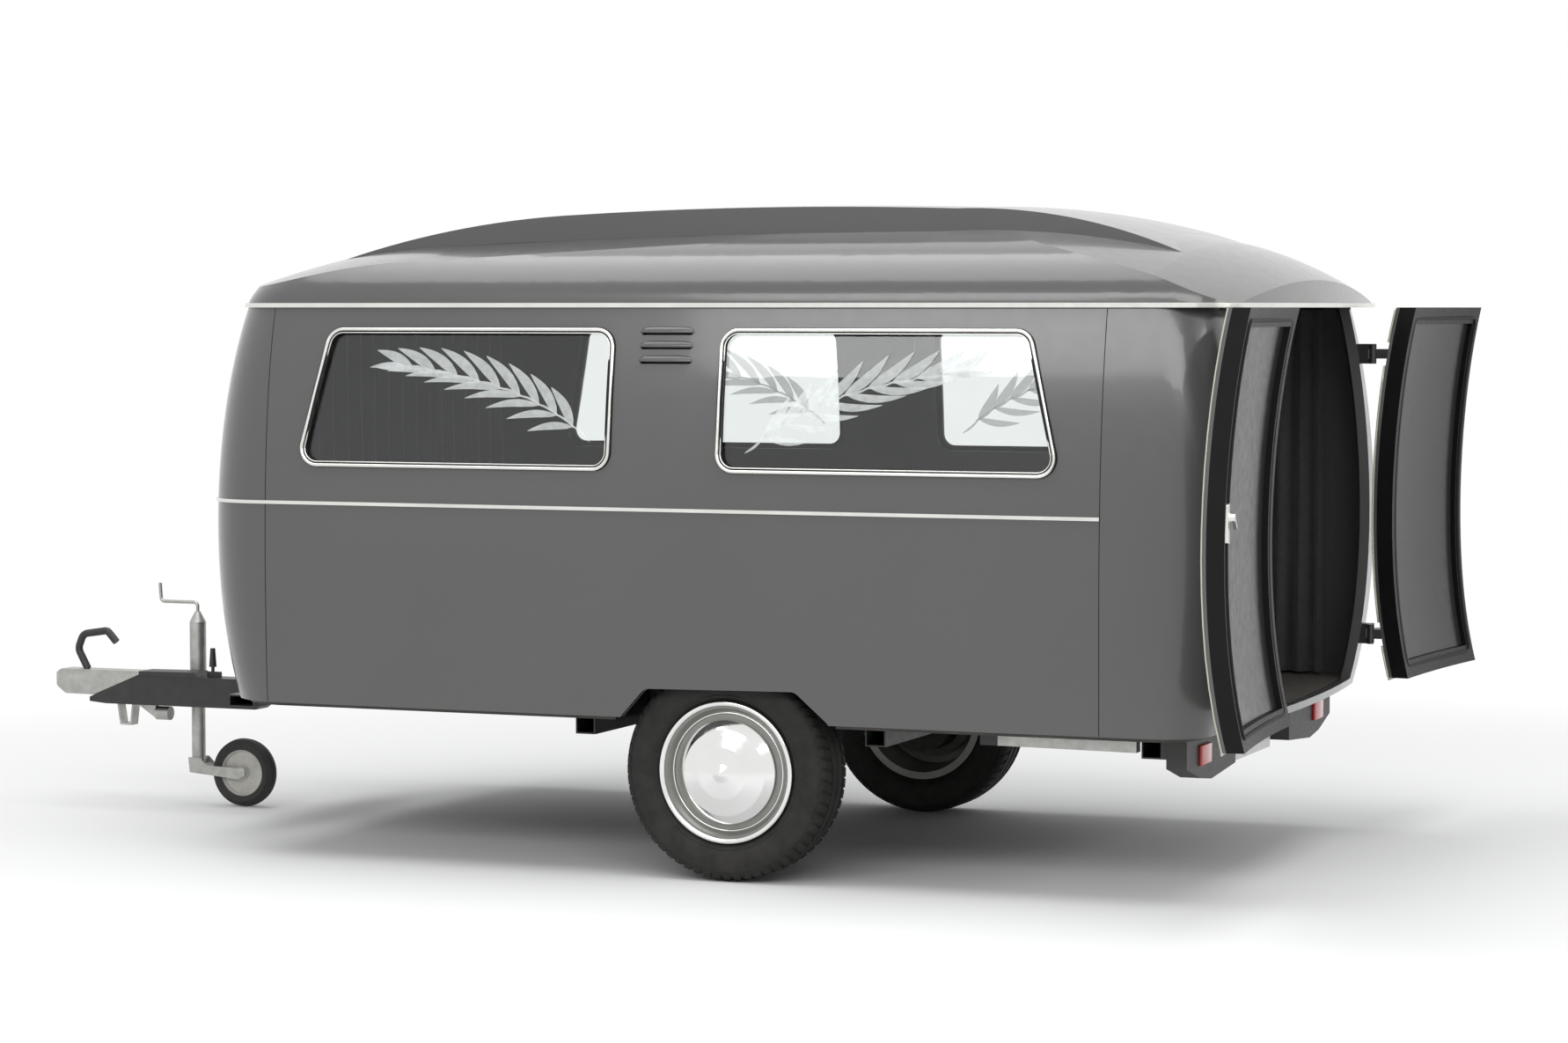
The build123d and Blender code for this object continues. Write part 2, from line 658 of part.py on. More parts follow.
def wheel_piece(profile_points, name):
    wheel_axis = Axis((AXLE_X, 0, AXLE_Z), (0, 1, 0))
    with BuildPart() as left:
        with BuildSketch(Plane(origin=(AXLE_X, 0, AXLE_Z), x_dir=(0, 1, 0), z_dir=(1, 0, 0))):
            with BuildLine():
                Polyline(*profile_points, close=True)
            make_face()
        revolve(axis=wheel_axis)
    export(left, name + "_left")
    with BuildPart() as right:
        mirror(left.part, about=Plane.XZ)
    export(right, name + "_right")


# Profiles run outward from the middle of the trailer: distance out, then radius.
TYRE_IN = WHEEL_Y - TYRE_WIDTH / 2
TYRE_OUT = WHEEL_Y + TYRE_WIDTH / 2
RIM_IN = WHEEL_Y - RIM_WIDTH / 2
RIM_OUT = WHEEL_Y + RIM_WIDTH / 2
MID_R = (RIM_R + TYRE_R) / 2
wheel_piece([(RIM_IN + FLANGE + FIT, BEAD_R), (RIM_IN + FLANGE + FIT, RIM_R + 2), (TYRE_IN + 4, RIM_R + 16),
             (TYRE_IN, MID_R), (TYRE_IN + 6, TYRE_R - 22), (TYRE_IN + 22, TYRE_R - 4), (WHEEL_Y, TYRE_R),
             (TYRE_OUT - 22, TYRE_R - 4), (TYRE_OUT - 6, TYRE_R - 22), (TYRE_OUT, MID_R),
             (TYRE_OUT - 4, RIM_R + 16), (RIM_OUT - FLANGE - FIT, RIM_R + 2), (RIM_OUT - FLANGE - FIT, BEAD_R)],
            "tyre")
wheel_piece([(RIM_IN, RIM_R), (RIM_IN + FLANGE, RIM_R), (RIM_IN + FLANGE, BEAD_R - FIT),
             (RIM_OUT - FLANGE, BEAD_R - FIT), (RIM_OUT - FLANGE, RIM_R), (RIM_OUT, RIM_R), (RIM_OUT, BEAD_R - 4),
             (HUB_FACE_Y - 4, WELL_R), (HUB_FACE_Y - 2, WELL_R - 22), (HUB_FACE_Y + 2, HUBCAP_R - 14),
             (HUB_FACE_Y - 16, HUBCAP_R - 52), (HUB_FACE_Y - 16, STUB_R + 1), (DISC_BACK_Y, STUB_R + 1),
             (DISC_BACK_Y, HUBCAP_R - 50), (HUB_FACE_Y - 5, HUBCAP_R - 12), (HUB_FACE_Y - 9, WELL_R - 22),
             (HUB_FACE_Y - 14, WELL_R - 4), (RIM_IN, BEAD_R - 6)], "rim")
wheel_piece([(DRUM_IN, DRUM_R), (DRUM_IN, STUB_R + HINGE_RUN), (DISC_BACK_Y - FIT, STUB_R + HINGE_RUN),
             (DISC_BACK_Y - FIT, DRUM_R - 30), (DISC_BACK_Y - 20, DRUM_R)], "brake_drum")
wheel_piece([(HUB_FACE_Y + 2 + FIT, HUBCAP_R - 14), (HUB_FACE_Y + 2 + FIT, HUBCAP_R), (HUB_FACE_Y + 10, HUBCAP_R),
             (HUB_FACE_Y + 26, HUBCAP_R - 22), (HUB_FACE_Y + 40, HUBCAP_R - 66), (HUB_FACE_Y + 47, 24),
             (HUB_FACE_Y + 54, 6), (HUB_FACE_Y + 54, 0), (HUB_FACE_Y + 44, 0), (HUB_FACE_Y + 36, HUBCAP_R - 66),
             (HUB_FACE_Y + 22, HUBCAP_R - 26)], "hubcap")

# Coupling head with its ball socket, and the grip that opens it
with BuildPart() as coupling_head:
    with BuildSketch(Plane.XZ.offset(-COUPLING_WIDTH / 2)):
        with BuildLine():
            Polyline((COUPLING_NOSE, 350), (COUPLING_NOSE, 378), (COUPLING_NOSE - 25, ARM_TOP),
                     (2180, ARM_TOP), (2180, BEAM_TOP + FIT + 2), (BEAM_NOSE - 10, BEAM_BOTTOM + 24),
                     (COUPLING_NOSE - 40, 322), close=True)
        make_face()
    extrude(amount=COUPLING_WIDTH)
    with Locations((BALL_X, 0, BALL_Z)):
        Sphere(BALL_R, mode=Mode.SUBTRACT)
    with BuildSketch(Plane.XY.offset(BALL_Z - 60)):
        with Locations((BALL_X, 0)):
            Circle(BALL_R)
    extrude(amount=60, mode=Mode.SUBTRACT)
    fillet(coupling_head.edges().filter_by(Axis.Z).group_by(Axis.X)[-1], 20)
export(coupling_head, "coupling_head")

handle_points = [(2372, 0, ARM_TOP + FIT), (2404, 0, 452), (2386, 0, 496), (2304, 0, 508),
                 (2274, 0, 476)]
with BuildPart() as coupling_handle:
    with BuildLine() as handle_path:
        FilletPolyline(*handle_points, radius=[30, 26, 16])
    with BuildSketch(handle_path.line ^ 0):
        Circle(GRIP_R)
    sweep()
    add(slab(2340, 2420, -2 * GRIP_R, 2 * GRIP_R, ARM_TOP - 40, ARM_TOP + FIT), mode=Mode.SUBTRACT)
export(coupling_handle, "coupling_handle")

# Overrun housing on the beam, brake lever and the plug parked in its holder
with BuildPart() as overrun_housing:
    with BuildSketch(Plane.XZ.offset(-OVERRUN_WIDTH / 2)):
        with BuildLine():
            Polyline((2176, BEAM_TOP + FIT), (2176, ARM_TOP + 2), (1990, ARM_TOP + 4),
                     (1978, BEAM_TOP + FIT), close=True)
        make_face()
    extrude(amount=OVERRUN_WIDTH)
export(overrun_housing, "overrun_housing")

with BuildPart() as brake_lever:
    with BuildSketch(Plane.XZ.offset(-5)):
        with Locations((1945, BEAM_TOP + FIT)):
            Rectangle(44, 16, align=(Align.CENTER, Align.MIN))
    extrude(amount=10)
    with BuildSketch(Plane.XY.offset(BEAM_TOP + FIT + 10)):
        with Locations((1950, 0)):
            Circle(5)
    extrude(amount=30)
    with BuildSketch(Plane.XY.offset(BEAM_TOP + FIT + 30)):
        with Locations((1950, 0)):
            Circle(11)
    extrude(amount=54, taper=4)
export(brake_lever, "brake_lever")

with BuildPart() as plug_holder:
    with BuildSketch(Plane.XZ.offset(-8)):
        with BuildLine():
            Polyline((2200, BEAM_BOTTOM - FIT), (2140, BEAM_BOTTOM - FIT), (2128, 262),
                     (2140, 258), close=True)
        make_face()
    extrude(amount=16)
    with BuildSketch(Plane.YZ.offset(2092)):
        with Locations((0, 272)):
            Circle(20)
    extrude(amount=44)
    with BuildSketch(Plane.XZ.offset(-18)):
        with BuildLine():
            Polyline((2262, BEAM_BOTTOM - FIT), (2252, 234), (2214, 234), (2206, BEAM_BOTTOM - FIT),
                     (2212, BEAM_BOTTOM - FIT), (2219, 240), (2247, 240),
                     (2256, BEAM_BOTTOM - FIT), close=True)
        make_face()
    extrude(amount=36)
export(plug_holder, "plug_holder")

# Jockey wheel: clamp on the beam's right side, outer tube with its crank, sliding leg and fork, wheel
with BuildPart() as jockey_clamp:
    with BuildSketch(Plane.XY.offset(BEAM_BOTTOM + 12)):
        with Locations((JOCKEY_X, (JOCKEY_Y - BEAM_WIDTH / 2) / 2)):
            Rectangle(64, -JOCKEY_Y - BEAM_WIDTH / 2)
        with Locations((JOCKEY_X, JOCKEY_Y)):
            Circle(JOCKEY_TUBE_R + 8)
            Circle(JOCKEY_TUBE_R + FIT, mode=Mode.SUBTRACT)
    extrude(amount=62)
export(jockey_clamp, "jockey_clamp")

with BuildPart() as jockey_tube:
    with BuildSketch(Plane.XY.offset(JOCKEY_TUBE_BOTTOM)):
        with Locations((JOCKEY_X, JOCKEY_Y)):
            Circle(JOCKEY_TUBE_R)
            Circle(JOCKEY_LEG_R + 0.06, mode=Mode.SUBTRACT)
    extrude(amount=JOCKEY_TUBE_TOP - JOCKEY_TUBE_BOTTOM)
    with BuildSketch(Plane.XY.offset(JOCKEY_TUBE_TOP)):
        with Locations((JOCKEY_X, JOCKEY_Y)):
            Circle(JOCKEY_TUBE_R)
    extrude(amount=30, taper=28)
export(jockey_tube, "jockey_tube")

crank_points = [(JOCKEY_X, JOCKEY_Y, JOCKEY_TUBE_TOP + 30), (JOCKEY_X, JOCKEY_Y, 594),
                (JOCKEY_X + 122, JOCKEY_Y, 594), (JOCKEY_X + 126, JOCKEY_Y, 648)]
with BuildPart() as jockey_crank:
    with BuildLine() as crank_path:
        FilletPolyline(*crank_points, radius=12)
    with BuildSketch(crank_path.line ^ 0):
        Circle(5)
    sweep()
export(jockey_crank, "jockey_crank")

with BuildPart() as jockey_leg:
    with BuildSketch(Plane.XY.offset(LEG_BOTTOM)):
        with Locations((JOCKEY_X, JOCKEY_Y)):
            Circle(JOCKEY_LEG_R)
    extrude(amount=JOCKEY_TUBE_TOP - JOCKEY_TRAVEL - 20 - LEG_BOTTOM)
    for side in (1, -1):
        with BuildSketch(Plane.XZ.offset(-JOCKEY_Y - side * (FORK_GAP / 2))):
            with BuildLine():
                Polyline((JOCKEY_X + 18, LEG_BOTTOM + 20), (JOCKEY_X + 14, LEG_BOTTOM - 24),
                         (JOCKEY_WHEEL_X + 6, JOCKEY_WHEEL_R - 18), (JOCKEY_WHEEL_X - 16, JOCKEY_WHEEL_R - 6),
                         (JOCKEY_WHEEL_X - 14, JOCKEY_WHEEL_R + 14), (JOCKEY_X - 40, LEG_BOTTOM - 2),
                         (JOCKEY_X - 18, LEG_BOTTOM + 20), close=True)
            make_face()
        extrude(amount=-side * FORK_PLATE)
    with BuildSketch(Plane.XY.offset(LEG_BOTTOM)):
        with Locations((JOCKEY_X, JOCKEY_Y)):
            Rectangle(34, FORK_GAP + 2 * FORK_PLATE)
    extrude(amount=18)
    with BuildSketch(Plane.XZ.offset(-JOCKEY_Y - FORK_GAP / 2 - FORK_PLATE)):
        with Locations((JOCKEY_WHEEL_X, JOCKEY_WHEEL_R)):
            Circle(6)
    extrude(amount=FORK_GAP + 2 * FORK_PLATE)
export(jockey_leg, "jockey_leg")

with BuildPart() as jockey_wheel:
    with BuildSketch(Plane(origin=(JOCKEY_WHEEL_X, JOCKEY_Y, JOCKEY_WHEEL_R), x_dir=(0, 1, 0), z_dir=(1, 0, 0))):
        with BuildLine():
            half = JOCKEY_WHEEL_WIDTH / 2
            Polyline((-half, 6.05), (half, 6.05), (half, 16), (10, 22), (10, 60), (half - 4, 66), (half, 84),
                     (half - 8, JOCKEY_WHEEL_R - 3), (0, JOCKEY_WHEEL_R), (-half + 8, JOCKEY_WHEEL_R - 3),
                     (-half, 84), (-half + 4, 66), (-10, 60), (-10, 22), (-half, 16), close=True)
        make_face()
    revolve(axis=Axis((JOCKEY_WHEEL_X, 0, JOCKEY_WHEEL_R), (0, 1, 0)))
export(jockey_wheel, "jockey_wheel")

# Rear light board with its blank plate, lamps, and the folded corner steadies
with BuildPart() as light_board:
    with BuildSketch(Plane.YZ.offset(SPINE_BACK - FIT)):
        with Locations((0, FLOOR_Z - 30)):
            Rectangle(2 * LAMP_OUT_Y, 44)
    extrude(amount=-BOARD_THICK)
export(light_board, "light_board")

with BuildPart() as number_plate:
    with BuildSketch(Plane.YZ.offset(SPINE_BACK - BOARD_THICK - 2 * FIT)):
        with Locations((0, FLOOR_Z - 10 - PLATE_HEIGHT / 2)):
            RectangleRounded(PLATE_LENGTH, PLATE_HEIGHT, 8)
    extrude(amount=-3)
export(number_plate, "number_plate")

with BuildPart() as rear_lamps:
    for side in (1, -1):
        with BuildSketch(Plane.YZ.offset(SPINE_BACK - BOARD_THICK - 2 * FIT)):
            with BuildLine():
                Polyline((side * 272, FLOOR_Z - 4), (side * LAMP_OUT_Y, FLOOR_Z - 4), (side * LAMP_OUT_Y, 330),
                         (side * 600, 296), (side * 500, 284), (side * 272, 300), close=True)
            make_face()
        extrude(amount=-LAMP_DEPTH)
export(rear_lamps, "rear_lamps")

# A folded steady is a channel, open below, on a pin between two plates under the floor.
for side, name in ((1, "left"), (-1, "right")):
    with BuildPart() as steady:
        with BuildSketch(Plane.XZ.offset(-side * STEADY_Y - STEADY_WIDTH / 2)):
            with BuildLine():
                Polyline((STEADY_PIVOT_X + 10, STEADY_PIVOT_Z + 10), (STEADY_PIVOT_X + 10, STEADY_PIVOT_Z - 14),
                         (STEADY_FOOT_X, STEADY_PIVOT_Z - 18), (STEADY_FOOT_X, STEADY_PIVOT_Z + 10), close=True)
            make_face()
            with Locations((STEADY_PIVOT_X, STEADY_PIVOT_Z)):
                Circle(STEADY_PIN_R + HINGE_RUN, mode=Mode.SUBTRACT)
        extrude(amount=STEADY_WIDTH)
        with BuildSketch(Plane.XZ.offset(-side * STEADY_Y - STEADY_WIDTH / 2 + STEADY_SHEET)):
            with Locations((STEADY_FOOT_X + 12, STEADY_PIVOT_Z + 10 - STEADY_SHEET)):
                Rectangle(STEADY_PIVOT_X - STEADY_FOOT_X - 12 + 20, 40, align=(Align.MIN, Align.MAX))
        extrude(amount=STEADY_WIDTH - 2 * STEADY_SHEET, mode=Mode.SUBTRACT)
    export(steady, "steady_" + name)

with BuildPart() as steady_brackets:
    for side in (1, -1):
        for face in (1, -1):
            plate_y = side * STEADY_Y + face * (STEADY_WIDTH / 2 + FIT)
            with BuildSketch(Plane.XZ.offset(-plate_y)):
                with Locations((STEADY_PIVOT_X, FLOOR_Z)):
                    Rectangle(44, FLOOR_Z - STEADY_PIVOT_Z + 14, align=(Align.CENTER, Align.MAX))
            extrude(amount=-face * STEADY_SHEET)
        with BuildSketch(Plane.XZ.offset(-side * STEADY_Y - STEADY_WIDTH / 2 - FIT)):
            with Locations((STEADY_PIVOT_X, STEADY_PIVOT_Z)):
                Circle(STEADY_PIN_R)
        extrude(amount=STEADY_WIDTH + 2 * FIT)
export(steady_brackets, "steady_brackets")
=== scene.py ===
import math

import bmesh
import bpy
from bpy.props import FloatProperty, FloatVectorProperty, IntProperty, PointerProperty
from mathutils import Matrix, Vector
from mathutils.bvhtree import BVHTree


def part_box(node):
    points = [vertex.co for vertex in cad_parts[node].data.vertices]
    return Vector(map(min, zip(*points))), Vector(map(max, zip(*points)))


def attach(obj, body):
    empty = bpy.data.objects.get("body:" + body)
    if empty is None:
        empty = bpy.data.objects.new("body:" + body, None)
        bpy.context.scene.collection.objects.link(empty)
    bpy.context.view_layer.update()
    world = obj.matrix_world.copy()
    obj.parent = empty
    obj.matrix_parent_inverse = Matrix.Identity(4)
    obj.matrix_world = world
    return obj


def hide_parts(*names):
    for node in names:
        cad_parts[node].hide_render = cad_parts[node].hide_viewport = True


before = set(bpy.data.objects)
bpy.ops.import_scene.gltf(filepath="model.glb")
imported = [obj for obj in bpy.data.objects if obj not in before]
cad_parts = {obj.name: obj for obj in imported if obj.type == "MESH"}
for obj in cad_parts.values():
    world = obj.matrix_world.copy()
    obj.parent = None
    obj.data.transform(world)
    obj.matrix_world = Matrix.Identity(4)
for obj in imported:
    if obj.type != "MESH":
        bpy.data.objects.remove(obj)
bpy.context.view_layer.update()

bl_info = {
    "name": "Trailer Hearse",
    "version": (1, 0, 0),
    "blender": (4, 5, 0),
    "location": "View3D > Sidebar > Hearse",
    "description": "Dresses a towed hearse with its glass, trim, tyres, drapes and finishes",
    "category": "Object",
}

# Camera of the photograph, in the trailer's own frame
CAMERA_PLACE = Vector((-3.7741, 9.8595, 1.4566))
CAMERA_LOOK = Vector((0.3701, -0.9274, -0.0549))
CAMERA_LENS = 89.3
SENSOR_WIDTH = 36.0

# Side windows: corners of the outline (station, height), with the corner radius of the opening
WINDOW_CORNERS = {
    "front": ((0.299, 1.040), (1.204, 1.040), (1.121, 1.406), (0.299, 1.406)),
    "rear": ((0.010, 1.040), (0.010, 1.406), (-0.813, 1.406), (-0.904, 1.040)),
}
WINDOW_RADIUS = 0.050
BEAD_MARGIN = 0.0055
LIP_MARGIN = 0.0145
LIP_RADIUS = 0.0016
CORNER_STEPS = 8

# Etched fronds: foot and tip of the stem, each as station and height, and the shares at which it bends
FROND_STEMS = {"front": ((0.369, 1.119), (0.940, 1.300)), "rear": ((-0.073, 1.098), (-0.655, 1.300))}
STEM_BENDS = ((0.23, 0.64), (0.61, 0.92))
STEM_BARE = 0.10
STEM_LEAFY = 0.80
STEM_WIDTH = 0.007
STEM_STEPS = 10
# The leaflets above and below the stem: degrees at its foot, their change to its tip, length, swell and width
LEAFLETS = ((57, -32, 0.098, 0.050, 0.027), (-5, 8, 0.100, 0.062, 0.020))
TIP_LEAFLET = (2, 0.085, 0.022)
TIP_SHARE = 0.93
LEAF_STEPS = 8
LEAF_FULLNESS = 0.8
LEAF_END = 0.03
LEAF_CURVE = 0.06
FROND_FILM = 0.0004
FROND_RIDGE = 0.0007

# Fine strips over the panel seams. What sits on a surface is sunk a little into it.
SEAM_STATIONS = (1.295, -1.000)
SEAM_HALF = 0.0016
SEAM_PROUD = 0.0006
SEAM_ROWS = 24
SUNK = 0.001
EAVE_STRIP_LAP = 0.014

# Louvred vents: a hood over each slot, and a black plate behind the slots whose black is painted shade for
# the dark inside
VENT_STATION = 0.158
VENT_FIRST = 1.320
VENT_LAST = 1.393
VENT_HALF = 0.078
HOODS = 3
HOOD_REACH = 0.013
HOOD_RISE = 0.016
HOOD_SHEET = 0.0015
SHADE_PLATE_THICKNESS = 0.003
SHADE_PLATE_MARGIN = 0.015

# The left rear door as it lies when shut, its edge strips, the strip where the doors meet, and the seal
HINGE = Vector((-1.318, 0.648, 0.0))
DOOR_OPEN = math.radians(-172)
DOOR_INNER_EDGE = 0.0025
DOOR_OUTER_EDGE = 0.640
DOOR_LOW = 0.441
DOOR_HIGH = 1.457
HINGE_HEIGHTS = (0.560, 1.330)
HINGE_GAP = 0.032
EDGE_INSET = 0.002
EDGE_LAP = 0.009
EDGE_FACES = (-0.001, -0.0045)
MEETING_LAP = 0.001
MEETING_STRIP = (0.022, 0.014)
MEETING_FACES = (-0.0048, -0.0078)
SEAL_SETBACK = 0.030
SEAL_DEPTH = 0.0505
SEAL_RADIUS = 0.005
SEAL_CORNER = 0.020

# Wheels: middle of the tyre, axle height and the outer face of the rim
WHEEL_OUT = 0.730
AXLE_HEIGHT = 0.280
RIM_FACE = 0.800
TURN_STEPS = 96

# Red lenses on the rear faces of the lamp housings
LENS_WIDTH = 0.094
LENS_FROM_END = 0.106
LENS_LOW = 0.328
LENS_HIGH = 0.380
LENS_PROUD = 0.009
LENS_SUNK = 0.002
LENS_BEVEL = 0.004

# Drapes: where they hang in plan, between the floor and a rail under the roof
RAIL_HEIGHT = 1.450
FLOOR_GAP = 0.006
FOLD_DEPTH = 0.018
FRONT_DRAPE = (1.330, 0.640)
REAR_DRAPE = ((-1.160, 0.745), (-0.930, 0.755))
REAR_FOLDS = 4

# Each soft light: place, aim, width, depth and power
LIGHTS = {
    "overhead": ((0.0, 0.5, 5.5), (0.0, 0.0, 0.0), 7.0, 5.0, 260),
    "left_bank": ((-1.0, 6.5, 3.8), (0.0, 0.0, 1.0), 8.0, 1.6, 170),
    "rear_bank": ((-7.0, 1.5, 3.0), (-1.0, 0.0, 1.0), 3.0, 2.0, 90),
}
SKY_COLOR = (0.80, 0.81, 0.82, 1)
SKY_STRENGTH = 0.62

# Rays that look for a surface from outside start this far out
RAY_START = 2.0

# The floor, which fades to white between two distances from the axle
FLOOR_HALF = 40.0
FLOOR_NEAR = 1.6
FLOOR_FAR = 4.5

# Each finish: colour, its spread, pattern scale, lowest and highest roughness, metallic, coat, bump, dust
FINISHES = {
    "bright_trim": ((0.74, 0.74, 0.71), 0.05, 9, 0.16, 0.26, 1.0, 0.0, 0.02, 0.0),
    "hubcap_chrome": ((0.80, 0.80, 0.79), 0.02, 12, 0.05, 0.11, 1.0, 0.0, 0.01, 0.0),
    "floor_board": ((0.055, 0.048, 0.042), 0.20, 14, 0.45, 0.65, 0.0, 0.0, 0.20, 0.0),
    "black_plastic": ((0.018, 0.018, 0.018), 0.15, 30, 0.38, 0.55, 0.0, 0.0, 0.15, 0.2),
    "door_black": ((0.0055, 0.0055, 0.006), 0.10, 22, 0.34, 0.48, 0.0, 0.0, 0.04, 0.0),
    "door_lining": ((0.024, 0.025, 0.024), 0.06, 5, 0.16, 0.24, 0.0, 0.0, 0.004, 0.0),
    "chassis_steel": ((0.012, 0.012, 0.013), 0.18, 26, 0.32, 0.55, 0.0, 0.1, 0.12, 0.18),
    "zinc_steel": ((0.44, 0.44, 0.42), 0.14, 34, 0.30, 0.48, 0.85, 0.0, 0.12, 0.2),
    "drum_iron": ((0.040, 0.038, 0.036), 0.25, 40, 0.55, 0.80, 0.6, 0.0, 0.35, 0.25),
    "rim_silver": ((0.235, 0.235, 0.215), 0.06, 20, 0.25, 0.36, 0.35, 0.3, 0.02, 0.12),
    "tyre_rubber": ((0.015, 0.015, 0.0145), 0.14, 38, 0.60, 0.78, 0.0, 0.0, 0.15, 0.14),
    "plate_blank": ((0.66, 0.67, 0.66), 0.03, 18, 0.35, 0.45, 0.0, 0.0, 0.03, 0.1),
    "cream_edge": ((0.50, 0.48, 0.40), 0.07, 16, 0.26, 0.40, 0.35, 0.0, 0.03, 0.0),
    "seal_rubber": ((0.010, 0.010, 0.010), 0.10, 45, 0.50, 0.65, 0.0, 0.0, 0.10, 0.0),
    "red_lens": ((0.42, 0.012, 0.010), 0.06, 60, 0.08, 0.16, 0.0, 0.6, 0.05, 0.0),
}

# The painted panels take their colour from the settings, and the rest of their finish from here
PAINT_FINISH = (0.02, 3.2, 0.20, 0.26, 0.0, 0.5, 0.002, 0.05)
COAT_ROUGHNESS = 0.08
# Finishes that mirror less than plain paint does, by the shader's specular level
DULLED = {"door_lining": 0.10, "door_black": 0.15, "seal_rubber": 0.2, "tyre_rubber": 0.25}


def socket_input(tree, name, kind, value):
    item = tree.interface.new_socket(name, in_out="INPUT", socket_type=kind)
    if value is not None:
        item.default_value = value


def link_all(tree, pairs):
    for source, target in pairs:
        tree.links.new(source, target)


def math_node(tree, operation, first, second):
    node = tree.nodes.new("ShaderNodeMath")
    node.operation = operation
    for place, value in enumerate((first, second)):
        if isinstance(value, (int, float)):
            node.inputs[place].default_value = value
        else:
            tree.links.new(value, node.inputs[place])
    return node.outputs[0]


def range_node(tree, value, low, high, from_low=0.32, from_high=0.68):
    node = tree.nodes.new("ShaderNodeMapRange")
    node.inputs["From Min"].default_value = from_low
    node.inputs["From Max"].default_value = from_high
    tree.links.new(value, node.inputs["Value"])
    for name, bound in (("To Min", low), ("To Max", high)):
        if isinstance(bound, (int, float)):
            node.inputs[name].default_value = bound
        else:
            tree.links.new(bound, node.inputs[name])
    return node.outputs["Result"]


def noise_node(tree, vector, scale, detail):
    node = tree.nodes.new("ShaderNodeTexNoise")
    node.inputs["Detail"].default_value = detail
    tree.links.new(vector, node.inputs["Vector"])
    tree.links.new(scale, node.inputs["Scale"])
    return node.outputs["Fac"]


# The outputs of a shader group, with its given values, its results and the place on the piece.
def group_ends(tree, outputs):
    for name, kind in outputs:
        tree.interface.new_socket(name, in_out="OUTPUT", socket_type=kind)
    given = tree.nodes.new("NodeGroupInput").outputs
    result = tree.nodes.new("NodeGroupOutput").inputs
    return given, result, tree.nodes.new("ShaderNodeTexCoord").outputs["Object"]


# A surface that isn't quite even: its colour, roughness and height drift over the piece.
def mottle_group():
    tree = bpy.data.node_groups.new("mottle", "ShaderNodeTree")
    socket_input(tree, "Tint", "NodeSocketColor", (0.5, 0.5, 0.5, 1))
    socket_input(tree, "Spread", "NodeSocketFloat", 0.1)
    socket_input(tree, "Scale", "NodeSocketFloat", 10.0)
    socket_input(tree, "Rough Low", "NodeSocketFloat", 0.3)
    socket_input(tree, "Rough High", "NodeSocketFloat", 0.5)
    given, result, place = group_ends(tree, (
        ("Color", "NodeSocketColor"), ("Roughness", "NodeSocketFloat"), ("Height", "NodeSocketFloat")))
    broad = noise_node(tree, place, given["Scale"], 3)
    fine = noise_node(tree, place, math_node(tree, "MULTIPLY", given["Scale"], 9.0), 4)
    darker = math_node(tree, "SUBTRACT", 1.0, given["Spread"])
    lighter = math_node(tree, "ADD", 1.0, given["Spread"])
    shade = range_node(tree, broad, darker, lighter)
    tinted = tree.nodes.new("ShaderNodeVectorMath")
    tinted.operation = "SCALE"
    rough = range_node(tree, fine, given["Rough Low"], given["Rough High"])
    link_all(tree, (
        (given["Tint"], tinted.inputs[0]),
        (shade, tinted.inputs["Scale"]),
        (tinted.outputs[0], result["Color"]),
        (rough, result["Roughness"]),
        (fine, result["Height"]),
    ))
    return tree


# Pale road dust that thins out with height above the ground.
def dust_group():
    tree = bpy.data.node_groups.new("road_dust", "ShaderNodeTree")
    socket_input(tree, "Color", "NodeSocketColor", (0.5, 0.5, 0.5, 1))
    socket_input(tree, "Roughness", "NodeSocketFloat", 0.5)
    socket_input(tree, "Amount", "NodeSocketFloat", 0.3)
    socket_input(tree, "Top", "NodeSocketFloat", 0.7)
    socket_input(tree, "Dust", "NodeSocketColor", (0.16, 0.15, 0.13, 1))
    given, result, place = group_ends(tree, (("Color", "NodeSocketColor"), ("Roughness", "NodeSocketFloat")))
    axes = tree.nodes.new("ShaderNodeSeparateXYZ")
    tree.links.new(place, axes.inputs[0])
    height = math_node(tree, "DIVIDE", axes.outputs["Z"], given["Top"])
    fall = range_node(tree, height, 1.0, 0.0, 0.0, 1.0)
    grain = tree.nodes.new("ShaderNodeTexNoise")
    grain.inputs["Scale"].default_value = 24.0
    grain.inputs["Detail"].default_value = 5.0
    tree.links.new(place, grain.inputs["Vector"])
    patchy = math_node(tree, "MULTIPLY", fall, range_node(tree, grain.outputs["Fac"], 0.25, 1.0))
    mask = math_node(tree, "MULTIPLY", patchy, given["Amount"])
    tint = tree.nodes.new("ShaderNodeMix")
    tint.data_type = "RGBA"
    rough = tree.nodes.new("ShaderNodeMix")
    link_all(tree, (
        (mask, tint.inputs["Factor"]),
        (given["Color"], tint.inputs[6]),
        (given["Dust"], tint.inputs[7]),
        (tint.outputs[2], result["Color"]),
        (mask, rough.inputs["Factor"]),
        (given["Roughness"], rough.inputs[2]),
        (rough.outputs[0], result["Roughness"]),
    ))
    rough.inputs[3].default_value = 0.85
    return tree


def shared_group(name, build):
    return bpy.data.node_groups.get(name) or build()


def group_node(tree, group, **values):
    node = tree.nodes.new("ShaderNodeGroup")
    node.node_tree = group
    for name, value in values.items():
        node.inputs[name.replace("_", " ")].default_value = value
    return node


def mottle_node(tree, tint, spread, scale, rough_low, rough_high):
    return group_node(tree, shared_group("mottle", mottle_group), Tint=(*tint, 1), Spread=spread, Scale=scale,
                      Rough_Low=rough_low, Rough_High=rough_high)


